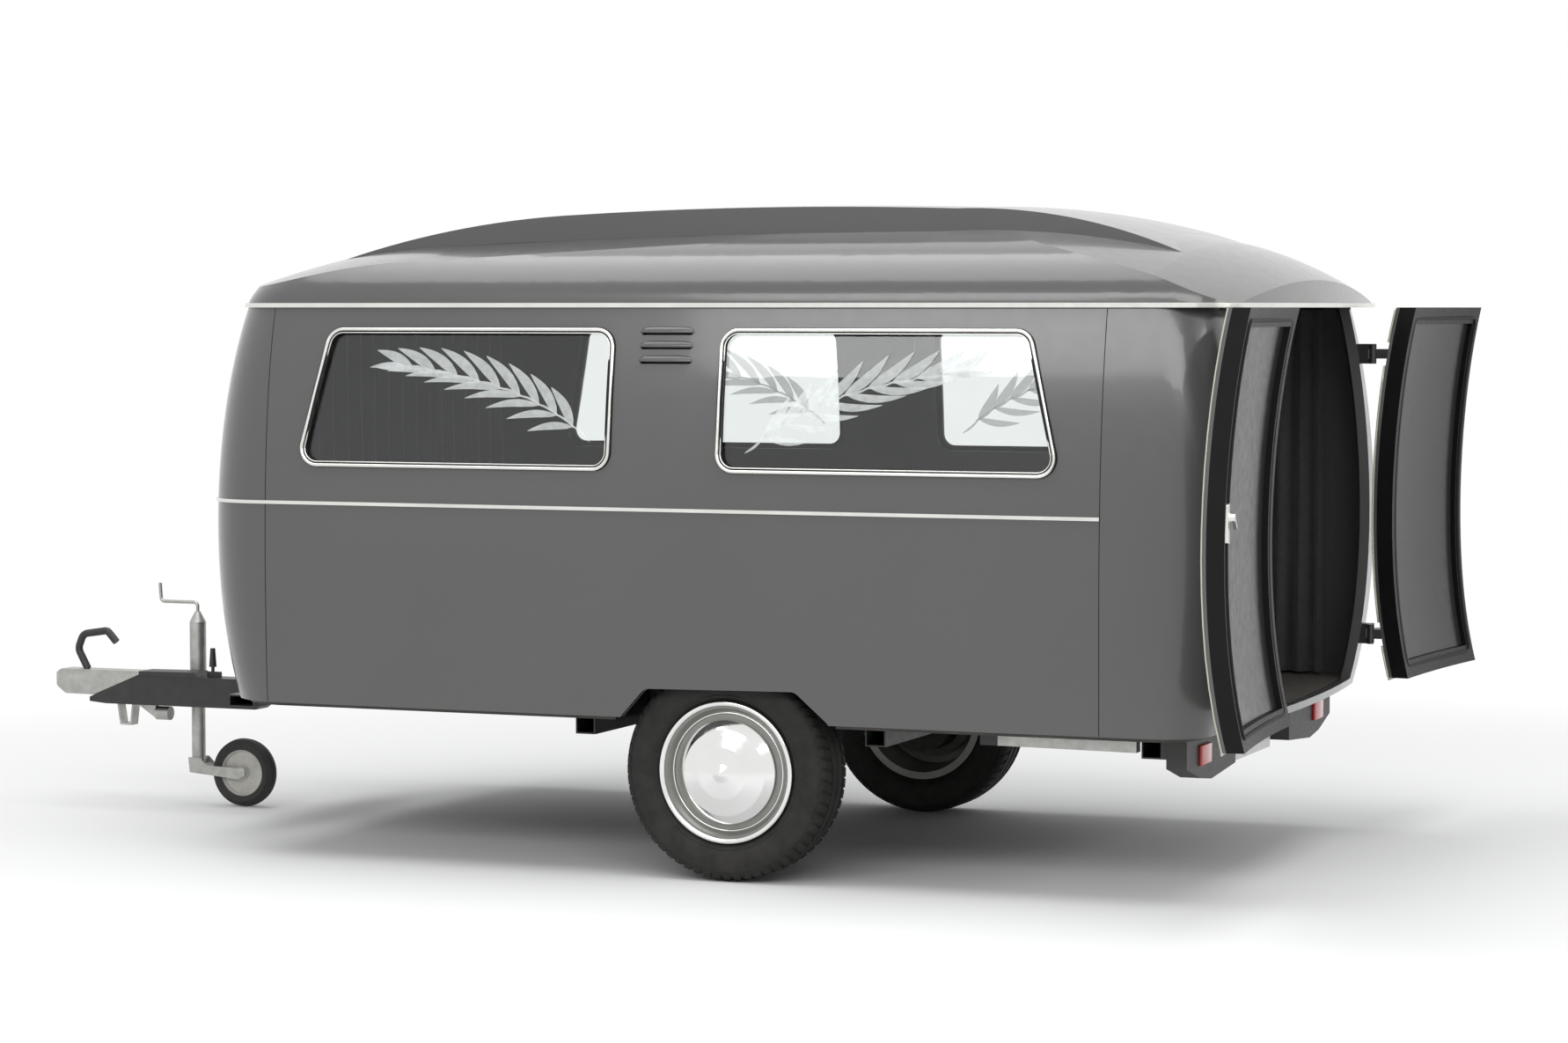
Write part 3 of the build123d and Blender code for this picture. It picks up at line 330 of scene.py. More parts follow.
def tint_and_roughness(tree, shader, group):
    link_all(tree, (
        (group.outputs["Color"], shader.inputs["Base Color"]),
        (group.outputs["Roughness"], shader.inputs["Roughness"]),
    ))


def empty_material(name):
    material = bpy.data.materials.new(name)
    material.use_nodes = True
    return material, material.node_tree, material.node_tree.nodes["Principled BSDF"]


def bump_into(tree, height, shader, strength, distance=0.001):
    bump = tree.nodes.new("ShaderNodeBump")
    bump.inputs["Strength"].default_value = strength
    bump.inputs["Distance"].default_value = distance
    tree.links.new(height, bump.inputs["Height"])
    tree.links.new(bump.outputs[0], shader.inputs["Normal"])


def finish_material(name, tint, spread, scale, rough_low, rough_high, metallic, coat, bump, dust):
    made = bpy.data.materials.get("hearse_" + name)
    if made:
        return made
    material, tree, shader = empty_material("hearse_" + name)
    shader.inputs["Metallic"].default_value = metallic
    shader.inputs["Coat Weight"].default_value = coat
    shader.inputs["Coat Roughness"].default_value = COAT_ROUGHNESS
    if name in DULLED:
        shader.inputs["Specular IOR Level"].default_value = DULLED[name]
    mottle = mottle_node(tree, tint, spread, scale, rough_low, rough_high)
    color, rough = mottle.outputs["Color"], mottle.outputs["Roughness"]
    if dust:
        coated = group_node(tree, shared_group("road_dust", dust_group), Amount=dust)
        link_all(tree, ((color, coated.inputs["Color"]), (rough, coated.inputs["Roughness"])))
        color, rough = coated.outputs["Color"], coated.outputs["Roughness"]
    link_all(tree, ((color, shader.inputs["Base Color"]), (rough, shader.inputs["Roughness"])))
    bump_into(tree, mottle.outputs["Height"], shader, bump)
    return material


def finish(name):
    return finish_material(name, *FINISHES[name])


def body_paint():
    return finish_material("satin_grey_paint", bpy.context.scene.hearse.paint_color, *PAINT_FINISH)


def clear_glass():
    material, tree, shader = empty_material("window_glass")
    shader.inputs["Transmission Weight"].default_value = 1.0
    shader.inputs["IOR"].default_value = 1.45
    tint_and_roughness(tree, shader, mottle_node(tree, (0.93, 0.955, 0.95), 0.02, 4.0, 0.0, 0.02))
    return material


def etched_frost():
    material, tree, shader = empty_material("etched_frost")
    shader.inputs["Alpha"].default_value = 0.32
    mottle = mottle_node(tree, bpy.context.scene.hearse.frost_color, 0.10, 60.0, 0.60, 0.80)
    tint_and_roughness(tree, shader, mottle)
    bump_into(tree, mottle.outputs["Height"], shader, 0.3)
    return material


# The jockey wheel is one piece of two finishes: a black tyre round a pale pressed hub.
def jockey_wheel_material():
    hub_radius = 0.067
    centre = (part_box("jockey_wheel")[0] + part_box("jockey_wheel")[1]) / 2
    material, tree, shader = empty_material("solid_tyre_and_hub")
    place = tree.nodes.new("ShaderNodeTexCoord").outputs["Object"]
    about = tree.nodes.new("ShaderNodeMapping")
    about.inputs["Location"].default_value = (-centre.x, 0, -centre.z)
    about.inputs["Scale"].default_value = (1, 0, 1)
    reach = tree.nodes.new("ShaderNodeVectorMath")
    reach.operation = "LENGTH"
    tree.links.new(place, about.inputs["Vector"])
    tree.links.new(about.outputs[0], reach.inputs[0])
    rubber = range_node(tree, reach.outputs["Value"], 0.0, 1.0, hub_radius - 0.001, hub_radius + 0.001)
    black = mottle_node(tree, (0.02, 0.02, 0.019), 0.2, 50.0, 0.6, 0.8)
    pale = mottle_node(tree, (0.52, 0.51, 0.47), 0.12, 40.0, 0.35, 0.5)
    tint = tree.nodes.new("ShaderNodeMix")
    tint.data_type = "RGBA"
    rough = tree.nodes.new("ShaderNodeMix")
    link_all(tree, (
        (rubber, tint.inputs["Factor"]),
        (pale.outputs["Color"], tint.inputs[6]),
        (black.outputs["Color"], tint.inputs[7]),
        (tint.outputs[2], shader.inputs["Base Color"]),
        (rubber, rough.inputs["Factor"]),
        (pale.outputs["Roughness"], rough.inputs[2]),
        (black.outputs["Roughness"], rough.inputs[3]),
        (rough.outputs[0], shader.inputs["Roughness"]),
    ))
    bump_into(tree, black.outputs["Height"], shader, 0.15)
    return material


# Matt cloth with an upright weave that follows the sheet's own flat coordinates.
def drape_cloth():
    material, tree, shader = empty_material("drape_cloth")
    shader.inputs["Sheen Weight"].default_value = 0.25
    shader.inputs["Sheen Roughness"].default_value = 0.5
    flat = tree.nodes.new("ShaderNodeUVMap").outputs["UV"]
    waves = []
    for direction, threads in (("X", 420.0), ("Y", 360.0)):
        wave = tree.nodes.new("ShaderNodeTexWave")
        wave.bands_direction = direction
        wave.inputs["Scale"].default_value = threads
        tree.links.new(flat, wave.inputs["Vector"])
        waves.append(wave.outputs["Fac"])
    weave = math_node(tree, "MULTIPLY", waves[0], waves[1])
    mottle = mottle_node(tree, bpy.context.scene.hearse.drape_color, 0.18, 6.0, 0.80, 0.95)
    tint_and_roughness(tree, shader, mottle)
    bump_into(tree, weave, shader, 0.4, 0.0004)
    return material


def add_piece(name, mesh, body, material):
    mesh.materials.clear()
    mesh.materials.append(material)
    piece = bpy.data.objects.new(name, mesh)
    bpy.context.scene.collection.objects.link(piece)
    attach(piece, body)
    return piece


def mesh_from(bm, name, smooth=True):
    bmesh.ops.remove_doubles(bm, verts=bm.verts, dist=1e-6)
    bmesh.ops.recalc_face_normals(bm, faces=bm.faces)
    for face in bm.faces:
        face.smooth = smooth
    mesh = bpy.data.meshes.new(name)
    bm.to_mesh(mesh)
    bm.free()
    return mesh


def sharp_edges(mesh, degrees):
    mesh.set_sharp_from_angle(angle=math.radians(degrees))
    return mesh


def joined(meshes, name):
    bm = bmesh.new()
    for mesh in meshes:
        bm.from_mesh(mesh)
        bpy.data.meshes.remove(mesh)
    return mesh_from(bm, name)


# Faces between rows of points, each row a closed outline, with both ends capped.
def skin_rows(bm, rows):
    count = len(rows[0])
    for here, there in zip(rows, rows[1:]):
        for place in range(count):
            after = (place + 1) % count
            bm.faces.new((here[place], here[after], there[after], there[place]))
    bm.faces.new(rows[0])
    bm.faces.new(reversed(rows[-1]))


def surface(*nodes):
    bm = bmesh.new()
    for node in nodes:
        bm.from_mesh(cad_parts[node].data)
    tree = BVHTree.FromBMesh(bm)
    bm.free()
    return tree


# The point where a sideways ray first meets a surface, from the left for side 1 and the right for -1.
def side_point(tree, side, station, height):
    hit = tree.ray_cast(Vector((station, side * RAY_START, height)), Vector((0, -side, 0)))[0]
    if hit is None:
        raise RuntimeError(f"no surface at station {station:.3f}, height {height:.3f}")
    return hit


def rounded_outline(corners, radius, margin):
    points = []
    count = len(corners)
    for place in range(count):
        corner = Vector(corners[place])
        before = (Vector(corners[place - 1]) - corner).normalized()
        after = (Vector(corners[(place + 1) % count]) - corner).normalized()
        middle = (before + after).normalized()
        half = before.angle(after) / 2
        centre = corner + middle * radius / math.sin(half)
        start = corner + before * radius / math.tan(half) - centre
        turn = start.angle_signed(corner + after * radius / math.tan(half) - centre)
        for step in range(CORNER_STEPS + 1):
            arm = start.copy()
            arm.rotate(Matrix.Rotation(-turn * step / CORNER_STEPS, 2))
            points.append(centre + arm * (radius - margin) / radius)
    return points


def tube_mesh(name, points, radius, closed, sides=3):
    curve = bpy.data.curves.new(name, "CURVE")
    curve.dimensions = "3D"
    curve.bevel_depth = radius
    curve.bevel_resolution = sides
    curve.use_fill_caps = not closed
    spline = curve.splines.new("POLY")
    spline.points.add(len(points) - 1)
    for target, point in zip(spline.points, points):
        target.co = (*point, 1)
    spline.use_cyclic_u = closed
    holder = bpy.data.objects.new(name, curve)
    bpy.context.scene.collection.objects.link(holder)
    mesh = bpy.data.meshes.new_from_object(holder.evaluated_get(bpy.context.evaluated_depsgraph_get()))
    bpy.data.objects.remove(holder)
    bpy.data.curves.remove(curve)
    return mesh


# A closed profile of (distance out, radius) turned about a crosswise axle.
def turned(name, profile, side, station, height, steps=TURN_STEPS):
    bm = bmesh.new()
    rings = []
    for step in range(steps):
        angle = math.tau * step / steps
        along, up = math.sin(angle), math.cos(angle)
        rings.append([bm.verts.new((station + radius * along, side * out, height + radius * up))
                      for out, radius in profile])
    count = len(profile)
    for ring in range(steps):
        here, there = rings[ring], rings[(ring + 1) % steps]
        for place in range(count):
            after = (place + 1) % count
            bm.faces.new((here[place], there[place], there[after], here[after]))
    return mesh_from(bm, name)


def array_tree(name, sockets):
    tree = bpy.data.node_groups.new(name, "GeometryNodeTree")
    socket_input(tree, "Geometry", "NodeSocketGeometry", None)
    for label, kind, value in sockets:
        socket_input(tree, label, kind, value)
    socket_input(tree, "Material", "NodeSocketMaterial", None)
    tree.interface.new_socket("Geometry", in_out="OUTPUT", socket_type="NodeSocketGeometry")
    return tree, tree.nodes.new("NodeGroupInput").outputs


def end_array(tree, given, instances):
    whole = tree.nodes.new("GeometryNodeRealizeInstances")
    finished = tree.nodes.new("GeometryNodeSetMaterial")
    link_all(tree, (
        (instances, whole.inputs[0]),
        (whole.outputs[0], finished.inputs["Geometry"]),
        (given["Material"], finished.inputs["Material"]),
        (finished.outputs[0], tree.nodes.new("NodeGroupOutput").inputs[0]),
    ))
    return tree


# Copies of a piece round a crosswise axle.
def polar_array():
    tree, given = array_tree("polar_array", (
        ("Count", "NodeSocketInt", 12),
        ("Centre", "NodeSocketVector", (0, 0, 0)),
    ))
    centred = tree.nodes.new("GeometryNodeTransform")
    away = tree.nodes.new("ShaderNodeVectorMath")
    away.operation = "SCALE"
    away.inputs["Scale"].default_value = -1.0
    points = tree.nodes.new("GeometryNodePoints")
    turn = tree.nodes.new("ShaderNodeCombineXYZ")
    share = math_node(tree, "DIVIDE", math.tau, given["Count"])
    angle = math_node(tree, "MULTIPLY", tree.nodes.new("GeometryNodeInputIndex").outputs[0], share)
    copies = tree.nodes.new("GeometryNodeInstanceOnPoints")
    link_all(tree, (
        (given["Centre"], away.inputs[0]),
        (given["Geometry"], centred.inputs["Geometry"]),
        (away.outputs[0], centred.inputs["Translation"]),
        (given["Count"], points.inputs["Count"]),
        (given["Centre"], points.inputs["Position"]),
        (angle, turn.inputs["Y"]),
        (points.outputs[0], copies.inputs["Points"]),
        (centred.outputs[0], copies.inputs["Instance"]),
        (turn.outputs[0], copies.inputs["Rotation"]),
    ))
    return end_array(tree, given, copies.outputs[0])


# Copies of a piece in a straight row.
def line_array():
    tree, given = array_tree("line_array", (
        ("Count", "NodeSocketInt", 3),
        ("Step", "NodeSocketVector", (0, 0, 0.1)),
    ))
    row = tree.nodes.new("GeometryNodeMeshLine")
    copies = tree.nodes.new("GeometryNodeInstanceOnPoints")
    link_all(tree, (
        (given["Count"], row.inputs["Count"]),
        (given["Step"], row.inputs["Offset"]),
        (row.outputs[0], copies.inputs["Points"]),
        (given["Geometry"], copies.inputs["Instance"]),
    ))
    return end_array(tree, given, copies.outputs[0])


def repeated(name, source, tree, **values):
    holder = bpy.data.objects.new(name, source)
    bpy.context.scene.collection.objects.link(holder)
    modifier = holder.modifiers.new("repeat", "NODES")
    modifier.node_group = tree
    for item in tree.interface.items_tree:
        if item.in_out == "INPUT" and item.name in values:
            modifier[item.identifier] = values[item.name]
    mesh = bpy.data.meshes.new_from_object(holder.evaluated_get(bpy.context.evaluated_depsgraph_get()))
    bpy.data.objects.remove(holder)
    return mesh


class HearseSettings(bpy.types.PropertyGroup):
    paint_color: FloatVectorProperty(
        name="Paint", description="Colour of the painted panels", subtype="COLOR", size=3, min=0, max=1,
        default=(0.078, 0.080, 0.077))
    frost_color: FloatVectorProperty(
        name="Frost", description="Colour of the etched fronds", subtype="COLOR", size=3, min=0, max=1,
        default=(0.88, 0.92, 0.91))
    drape_color: FloatVectorProperty(
        name="Drapes", description="Colour of the drapes", subtype="COLOR", size=3, min=0, max=1,
        default=(0.035, 0.034, 0.035))
    bead_radius: FloatProperty(
        name="Window bead", description="Half width of the bright bead round a window", unit="LENGTH",
        default=0.0048, min=0.001, max=0.01)
    leaflets: IntProperty(
        name="Leaflets", description="Leaflets on each side of a frond", default=9, min=3, max=20)
    tread_blocks: IntProperty(
        name="Tread blocks", description="Blocks round each shoulder of a tyre", default=60, min=12, max=120)
    drape_folds: IntProperty(
        name="Folds", description="Folds across the front drape", default=16, min=2, max=40)


class HEARSE_OT_finishes(bpy.types.Operator):
    """Give every part of the chassis and body its finish"""
    bl_idname = "hearse.finishes"
    bl_label = "Finishes"

    def execute(self, context):
        materials = {slot: finish(slot) for slot in FINISHES}
        materials["body_paint"] = body_paint()
        materials["etched_glass"] = clear_glass()
        materials["solid_rubber"] = jockey_wheel_material()
        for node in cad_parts.values():
            for slot in node.material_slots:
                slot.material = materials[slot.material.name.split(".")[0]]
        for side in ("left", "right"):
            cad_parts["window_trim_" + side].material_slots[0].material = materials["seal_rubber"]
        return {"FINISHED"}


# One leaflet: a thin pointed blade with a raised midrib, laid on the glass.
def add_leaflet(bm, glass, side, foot, angle, length, width):
    along = Vector((math.cos(angle), math.sin(angle)))
    across = Vector((-along.y, along.x))
    rows = []
    for step in range(LEAF_STEPS + 1):
        share = step / LEAF_STEPS
        bulge = math.sin(math.pi * share ** LEAF_FULLNESS) ** LEAF_FULLNESS if 0 < share < 1 else 0
        half = width * max(bulge / 2, LEAF_END)
        spine = foot + along * length * share + across * length * LEAF_CURVE * math.sin(math.pi * share)
        row = []
        for offset, lift in ((half, FROND_FILM), (0, FROND_FILM + FROND_RIDGE), (-half, FROND_FILM)):
            place = spine + across * offset
            point = side_point(glass, side, place.x, place.y)
            row.append(bm.verts.new(point + Vector((0, side * lift, 0))))
        rows.append(row)
    skin_rows(bm, rows)


def frond_mesh(name, glass, side, stem, leaflets):
    foot, tip = Vector(stem[0]), Vector(stem[1])
    span = tip - foot
    facing = 1 if span.x > 0 else -1
    handles = (foot, *(foot + span * Vector(bend) for bend in STEM_BENDS), tip)
    bm = bmesh.new()

    def stem_point(share):
        rest = 1 - share
        weights = (rest ** 3, 3 * rest ** 2 * share, 3 * rest * share ** 2, share ** 3)
        return sum((handle * weight for handle, weight in zip(handles, weights)), Vector((0, 0)))

    def blade(place, degrees, length, width):
        angle = math.radians(degrees)
        if facing < 0:
            angle = math.pi - angle
        add_leaflet(bm, glass, side, place, angle, length, width)

    for leaf in range(leaflets):
        share = leaf / (leaflets - 1)
        place = stem_point(STEM_BARE + STEM_LEAFY * share)
        fullness = math.sin(math.pi * (0.15 + 0.7 * share))
        for degrees, change, length, swell, width in LEAFLETS:
            blade(place, degrees + change * share, length + swell * fullness, width)
    blade(stem_point(TIP_SHARE), *TIP_LEAFLET)
    overlap = 0.2
    for step in range(STEM_STEPS):
        start, end = stem_point(step / STEM_STEPS), stem_point((step + 1) / STEM_STEPS)
        run = end - start
        length = run.length * (1 + 2 * overlap)
        add_leaflet(bm, glass, side, start - run * overlap, math.atan2(run.y, run.x), length, STEM_WIDTH)
    return mesh_from(bm, name, smooth=False)


class HEARSE_OT_fronds(bpy.types.Operator):
    """Etch a palm frond on each side window"""
    bl_idname = "hearse.fronds"
    bl_label = "Etched fronds"

    def execute(self, context):
        frost = etched_frost()
        for side, side_name in ((1, "left"), (-1, "right")):
            glass = surface("glass_" + side_name)
            for window, stem in FROND_STEMS.items():
                name = f"frond_{window}_{side_name}"
                mesh = frond_mesh(name, glass, side, stem, context.scene.hearse.leaflets)
                add_piece(name, mesh, "trailer", frost)
        return {"FINISHED"}


class HEARSE_OT_window_beads(bpy.types.Operator):
    """Run the bright bead and its inner lip round each side window"""
    bl_idname = "hearse.window_beads"
    bl_label = "Window beads"

    def execute(self, context):
        bright = finish("bright_trim")
        bead_radius = context.scene.hearse.bead_radius
        for side, side_name in ((1, "left"), (-1, "right")):
            ring = surface("window_trim_" + side_name)
            for window, corners in WINDOW_CORNERS.items():
                meshes = []
                for margin, radius in ((BEAD_MARGIN, bead_radius), (LIP_MARGIN, LIP_RADIUS)):
                    path = [side_point(ring, side, point.x, point.y)
                            for point in rounded_outline(corners, WINDOW_RADIUS, margin)]
                    meshes.append(tube_mesh("bead", path, radius, True))
                name = f"window_bead_{window}_{side_name}"
                add_piece(name, joined(meshes, name), "trailer", bright)
        return {"FINISHED"}


class HEARSE_OT_seams(bpy.types.Operator):
    """Lay the fine upright seams where the body panels meet"""
    bl_idname = "hearse.seams"
    bl_label = "Panel seams"

    def execute(self, context):
        bottom, top = (corner.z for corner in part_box("side_left"))
        low, high = bottom + 2 * SUNK, top - EAVE_STRIP_LAP
        profile = ((-SEAM_HALF, -SUNK), (-SEAM_HALF / 2, SEAM_PROUD),
                   (SEAM_HALF / 2, SEAM_PROUD), (SEAM_HALF, -SUNK))
        body = surface("side_left", "side_right", "body_front", "rear_frame")
        bm = bmesh.new()
        for station in SEAM_STATIONS:
            for side in (1, -1):
                strip = []
                for row in range(SEAM_ROWS + 1):
                    height = low + (high - low) * row / SEAM_ROWS
                    row_points = []
                    for shift, proud in profile:
                        point = side_point(body, side, station + shift, height)
                        row_points.append(bm.verts.new(point + Vector((0, side * proud, 0))))
                    strip.append(row_points)
                skin_rows(bm, strip)
        add_piece("panel_seams", mesh_from(bm, "panel_seams", smooth=False), "trailer",
                  finish("seal_rubber"))
        return {"FINISHED"}


# A louvre hood: a rounded ridge over the slot, open below.
def hood_mesh(side, body):
    arc_steps = 6
    length_steps = 16
    least_swell = 0.02
    bm = bmesh.new()
    rows = []
    for place in range(length_steps + 1):
        share = place / length_steps
        station = VENT_STATION + VENT_HALF * (2 * share - 1)
        swell = math.sqrt(max(0.0, 1 - abs(2 * share - 1) ** 6)) + least_swell
        wall = side_point(body, side, station, VENT_FIRST + HOOD_RISE)
        row = []
        for skin in (0, 1):
            for step in range(arc_steps + 1):
                angle = math.pi / 2 * step / arc_steps
                out = (HOOD_REACH - skin * HOOD_SHEET) * math.sin(angle) * swell
                up = (HOOD_RISE - skin * HOOD_SHEET) * math.cos(angle) * swell
                row.append(bm.verts.new((station, wall.y + side * (out - SUNK), VENT_FIRST + up)))
        rows.append(row[:arc_steps + 1] + row[:arc_steps:-1])
    skin_rows(bm, rows)
    return mesh_from(bm, "hood")


# A dark plate against the inside of the wall, so that the slots don't show daylight. Its black is painted
# shade: it stands in for the dark inside seen through the slots.
def shade_plate_mesh(side, body):
    rows = 6
    low, high = VENT_FIRST - SHADE_PLATE_MARGIN, VENT_LAST + 2 * SHADE_PLATE_MARGIN
    reach = VENT_HALF + SHADE_PLATE_MARGIN
    bm = bmesh.new()
    strip = []
    for row in range(rows + 1):
        height = low + (high - low) * row / rows
        wall = body.ray_cast(Vector((VENT_STATION + reach, 0, height)), Vector((0, side, 0)))[0].y
        strip.append([
            bm.verts.new((VENT_STATION + way * reach, wall + side * (SUNK - depth), height))
            for way, depth in ((-1, 0), (1, 0), (1, SHADE_PLATE_THICKNESS), (-1, SHADE_PLATE_THICKNESS))])
    skin_rows(bm, strip)
    return mesh_from(bm, "baffle", smooth=False)


class HEARSE_OT_vents(bpy.types.Operator):
    """Set three louvre hoods between the windows of each side, with a black plate of painted shade behind
    their slots
    """
    bl_idname = "hearse.vents"
    bl_label = "Vent hoods"

    def execute(self, context):
        body = surface("side_left", "side_right")
        row = line_array()
        paint = body_paint()
        beside = VENT_STATION + VENT_HALF
        for side, side_name in ((1, "left"), (-1, "right")):
            lean = side_point(body, side, beside, VENT_LAST) - side_point(body, side, beside, VENT_FIRST)
            name = "vent_hoods_" + side_name
            step = lean / (HOODS - 1)
            mesh = repeated(name, hood_mesh(side, body), row, Count=HOODS, Step=step, Material=paint)
            add_piece(name, mesh, "trailer", paint)
            # The black plate behind the slots is painted shade, standing in for the dark inside.
            add_piece("vent_baffle_" + side_name, shade_plate_mesh(side, body), "trailer",
                      finish("black_plastic"))
        return {"FINISHED"}


# A point of the left door, given where it lies when the door is shut, how deep, and how far past its edge.
def door_point(skin, across, height, depth, past_across=0.0, past_up=0.0):
    swing = Matrix.Rotation(DOOR_OPEN, 3, "Z")
    inward = swing @ Vector((1, 0, 0))
    start = swing @ (Vector((-RAY_START, across, height)) - HINGE) + HINGE
    hit = skin.ray_cast(start, inward)[0]
    if hit is None:
        raise RuntimeError(f"no door skin at {across:.3f}, {height:.3f}")
    return hit + inward * depth + swing @ Vector((0, past_across, past_up))


# A flat strip along a door edge: each stop is (across, height, way out across, way out up). Faces holds how
# deep its two faces lie, measured into the door.
def door_strip(bm, skin, stops, inside, outside, faces):
    deep, shallow = faces
    rows = []
    for across, height, out_across, out_up in stops:
        rows.append([
            bm.verts.new(door_point(skin, across, height, depth, out_across * reach, out_up * reach))
            for reach, depth in ((-inside, shallow), (outside, shallow), (outside, deep), (-inside, deep))])
    skin_rows(bm, rows)


def upright_stops(across, out_across, low, high, rows=14):
    return [(across, low + (high - low) * row / rows, out_across, 0) for row in range(rows + 1)]


def level_stops(height, out_up, near, far, rows=10):
    return [(near + (far - near) * row / rows, height, 0, out_up) for row in range(rows + 1)]


def mirrored(mesh, name):
    bm = bmesh.new()
    bm.from_mesh(mesh)
    bmesh.ops.scale(bm, vec=(1, -1, 1), verts=bm.verts)
    return mesh_from(bm, name)


def door_edge_mesh(skin):
    free_width, width = 0.007, 0.004
    hinged_lap = 0.006
    bm = bmesh.new()
    free, hinged = DOOR_INNER_EDGE + EDGE_INSET, DOOR_OUTER_EDGE - EDGE_INSET
    low, high = DOOR_LOW + EDGE_INSET, DOOR_HIGH - EDGE_INSET
    door_strip(bm, skin, upright_stops(free, -1, low, high), free_width, MEETING_LAP, EDGE_FACES)
    for height, way, lap in ((low, -1, EDGE_LAP), (high, 1, MEETING_LAP)):
        door_strip(bm, skin, level_stops(height, way, free, hinged), width, lap, EDGE_FACES)
    stretches = [low - EDGE_LAP, *HINGE_HEIGHTS, high]
    for place in range(3):
        start = max(stretches[place] + (HINGE_GAP if place else 0), low)
        end = min(stretches[place + 1] - (HINGE_GAP if place < 2 else 0), high)
        door_strip(bm, skin, upright_stops(hinged, 1, start, end), width, hinged_lap, EDGE_FACES)
    return mesh_from(bm, "door_edge", smooth=False)


def door_seal_mesh(skin):
    longest = 0.06
    inner, outer = DOOR_INNER_EDGE + SEAL_SETBACK, DOOR_OUTER_EDGE - SEAL_SETBACK
    low, high = DOOR_LOW + SEAL_SETBACK, DOOR_HIGH - SEAL_SETBACK
    outline = rounded_outline(((inner, low), (inner, high), (outer, high), (outer, low)), SEAL_CORNER, 0)
    dense = []
    for here, there in zip(outline, outline[1:] + outline[:1]):
        pieces = max(1, int((there - here).length / longest))
        dense += [here.lerp(there, step / pieces) for step in range(pieces)]
    path = [door_point(skin, point.x, point.y, SEAL_DEPTH) for point in dense]
    return tube_mesh("door_seal", path, SEAL_RADIUS, True)


class HEARSE_OT_door_trim(bpy.types.Operator):
    """Add the pale edge strip, the rubber seal and the meeting strip of the rear doors"""
    bl_idname = "hearse.door_trim"
    bl_label = "Door trim"

    def execute(self, context):
        skin = surface("door_skin_left")
        pale, rubber = finish("cream_edge"), finish("seal_rubber")
        edge, seal = door_edge_mesh(skin), door_seal_mesh(skin)
        add_piece("door_edge_right", mirrored(edge, "door_edge_right"), "door_right", pale)
        add_piece("door_seal_right", mirrored(seal, "door_seal_right"), "door_right", rubber)
        add_piece("door_edge_left", edge, "door_left", pale)
        add_piece("door_seal_left", seal, "door_left", rubber)
        bm = bmesh.new()
        stops = upright_stops(DOOR_INNER_EDGE + EDGE_INSET, -1, DOOR_LOW + EDGE_INSET, DOOR_HIGH - EDGE_INSET)
        door_strip(bm, skin, stops, *MEETING_STRIP, MEETING_FACES)
        strip = mirrored(mesh_from(bm, "meeting_strip", smooth=False), "meeting_strip")
        add_piece("meeting_strip", strip, "door_right", finish("door_black"))
        return {"FINISHED"}


# Half of the tyre's profile, from the bead over the shoulder to the middle groove: distance out, radius.
TYRE_HALF = (
    (0.0640, 0.168), (0.0650, 0.183), (0.0730, 0.190), (0.0775, 0.196), (0.0765, 0.199), (0.0800, 0.206),
    (0.0823, 0.222), (0.0825, 0.236), (0.0812, 0.250), (0.0770, 0.262), (0.0700, 0.2695), (0.0600, 0.2725),
    (0.0400, 0.2745), (0.0385, 0.2690), (0.0320, 0.2690), (0.0305, 0.2775), (0.0065, 0.2785),
    (0.0050, 0.2720), (0.0, 0.2720),
)


def tyre_mesh(name, side):
    outer = [(WHEEL_OUT + out, radius) for out, radius in TYRE_HALF]
    inner = [(WHEEL_OUT - out, radius) for out, radius in reversed(TYRE_HALF[:-1])]
    return turned(name, outer + inner, side, 0.0, AXLE_HEIGHT)


# A shoulder block's outline: distance out, radius, and how far it leans along the slant.
BLOCK_OUTLINE = (
    (0.0420, 0.2700, -1), (0.0425, 0.2785, -1), (0.0600, 0.2765, 0), (0.0735, 0.2715, 1), (0.0800, 0.2610, 1),
    (0.0740, 0.2560, 1),
)
BLOCK_SHARE = 0.70
BLOCK_SLANT = 0.5


# The first pair of shoulder blocks, at the top of the tyre.
def tread_block_mesh(side, count):
    half = math.pi / count * BLOCK_SHARE
    slant = half * BLOCK_SLANT
    bm = bmesh.new()
    for outboard in (1, -1):
        rings = []
        for angle in (-half, half):
            rings.append([
                bm.verts.new((
                    radius * math.sin(angle + outboard * lean * slant),
                    side * (WHEEL_OUT + outboard * out),
                    AXLE_HEIGHT + radius * math.cos(angle + outboard * lean * slant),
                ))
                for out, radius, lean in BLOCK_OUTLINE])
        skin_rows(bm, rings)
    return mesh_from(bm, "block", smooth=False)


class HEARSE_OT_tyres(bpy.types.Operator):
    """Mould the road tyres with ribs and shoulder blocks"""
    bl_idname = "hearse.tyres"
    bl_label = "Tyres"

    def execute(self, context):
        rubber = finish("tyre_rubber")
        ring = polar_array()
        count = context.scene.hearse.tread_blocks
        for side, side_name in ((1, "left"), (-1, "right")):
            name = "road_tyre_" + side_name
            centre = (0.0, side * WHEEL_OUT, AXLE_HEIGHT)
            blocks = repeated("blocks", tread_block_mesh(side, count), ring, Count=count, Centre=centre,
                              Material=rubber)
            mesh = sharp_edges(joined([tyre_mesh(name, side), blocks], name), 40)
            piece = add_piece(name, mesh, "wheel_" + side_name, rubber)
            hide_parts("tyre_" + side_name)
        return {"FINISHED"}


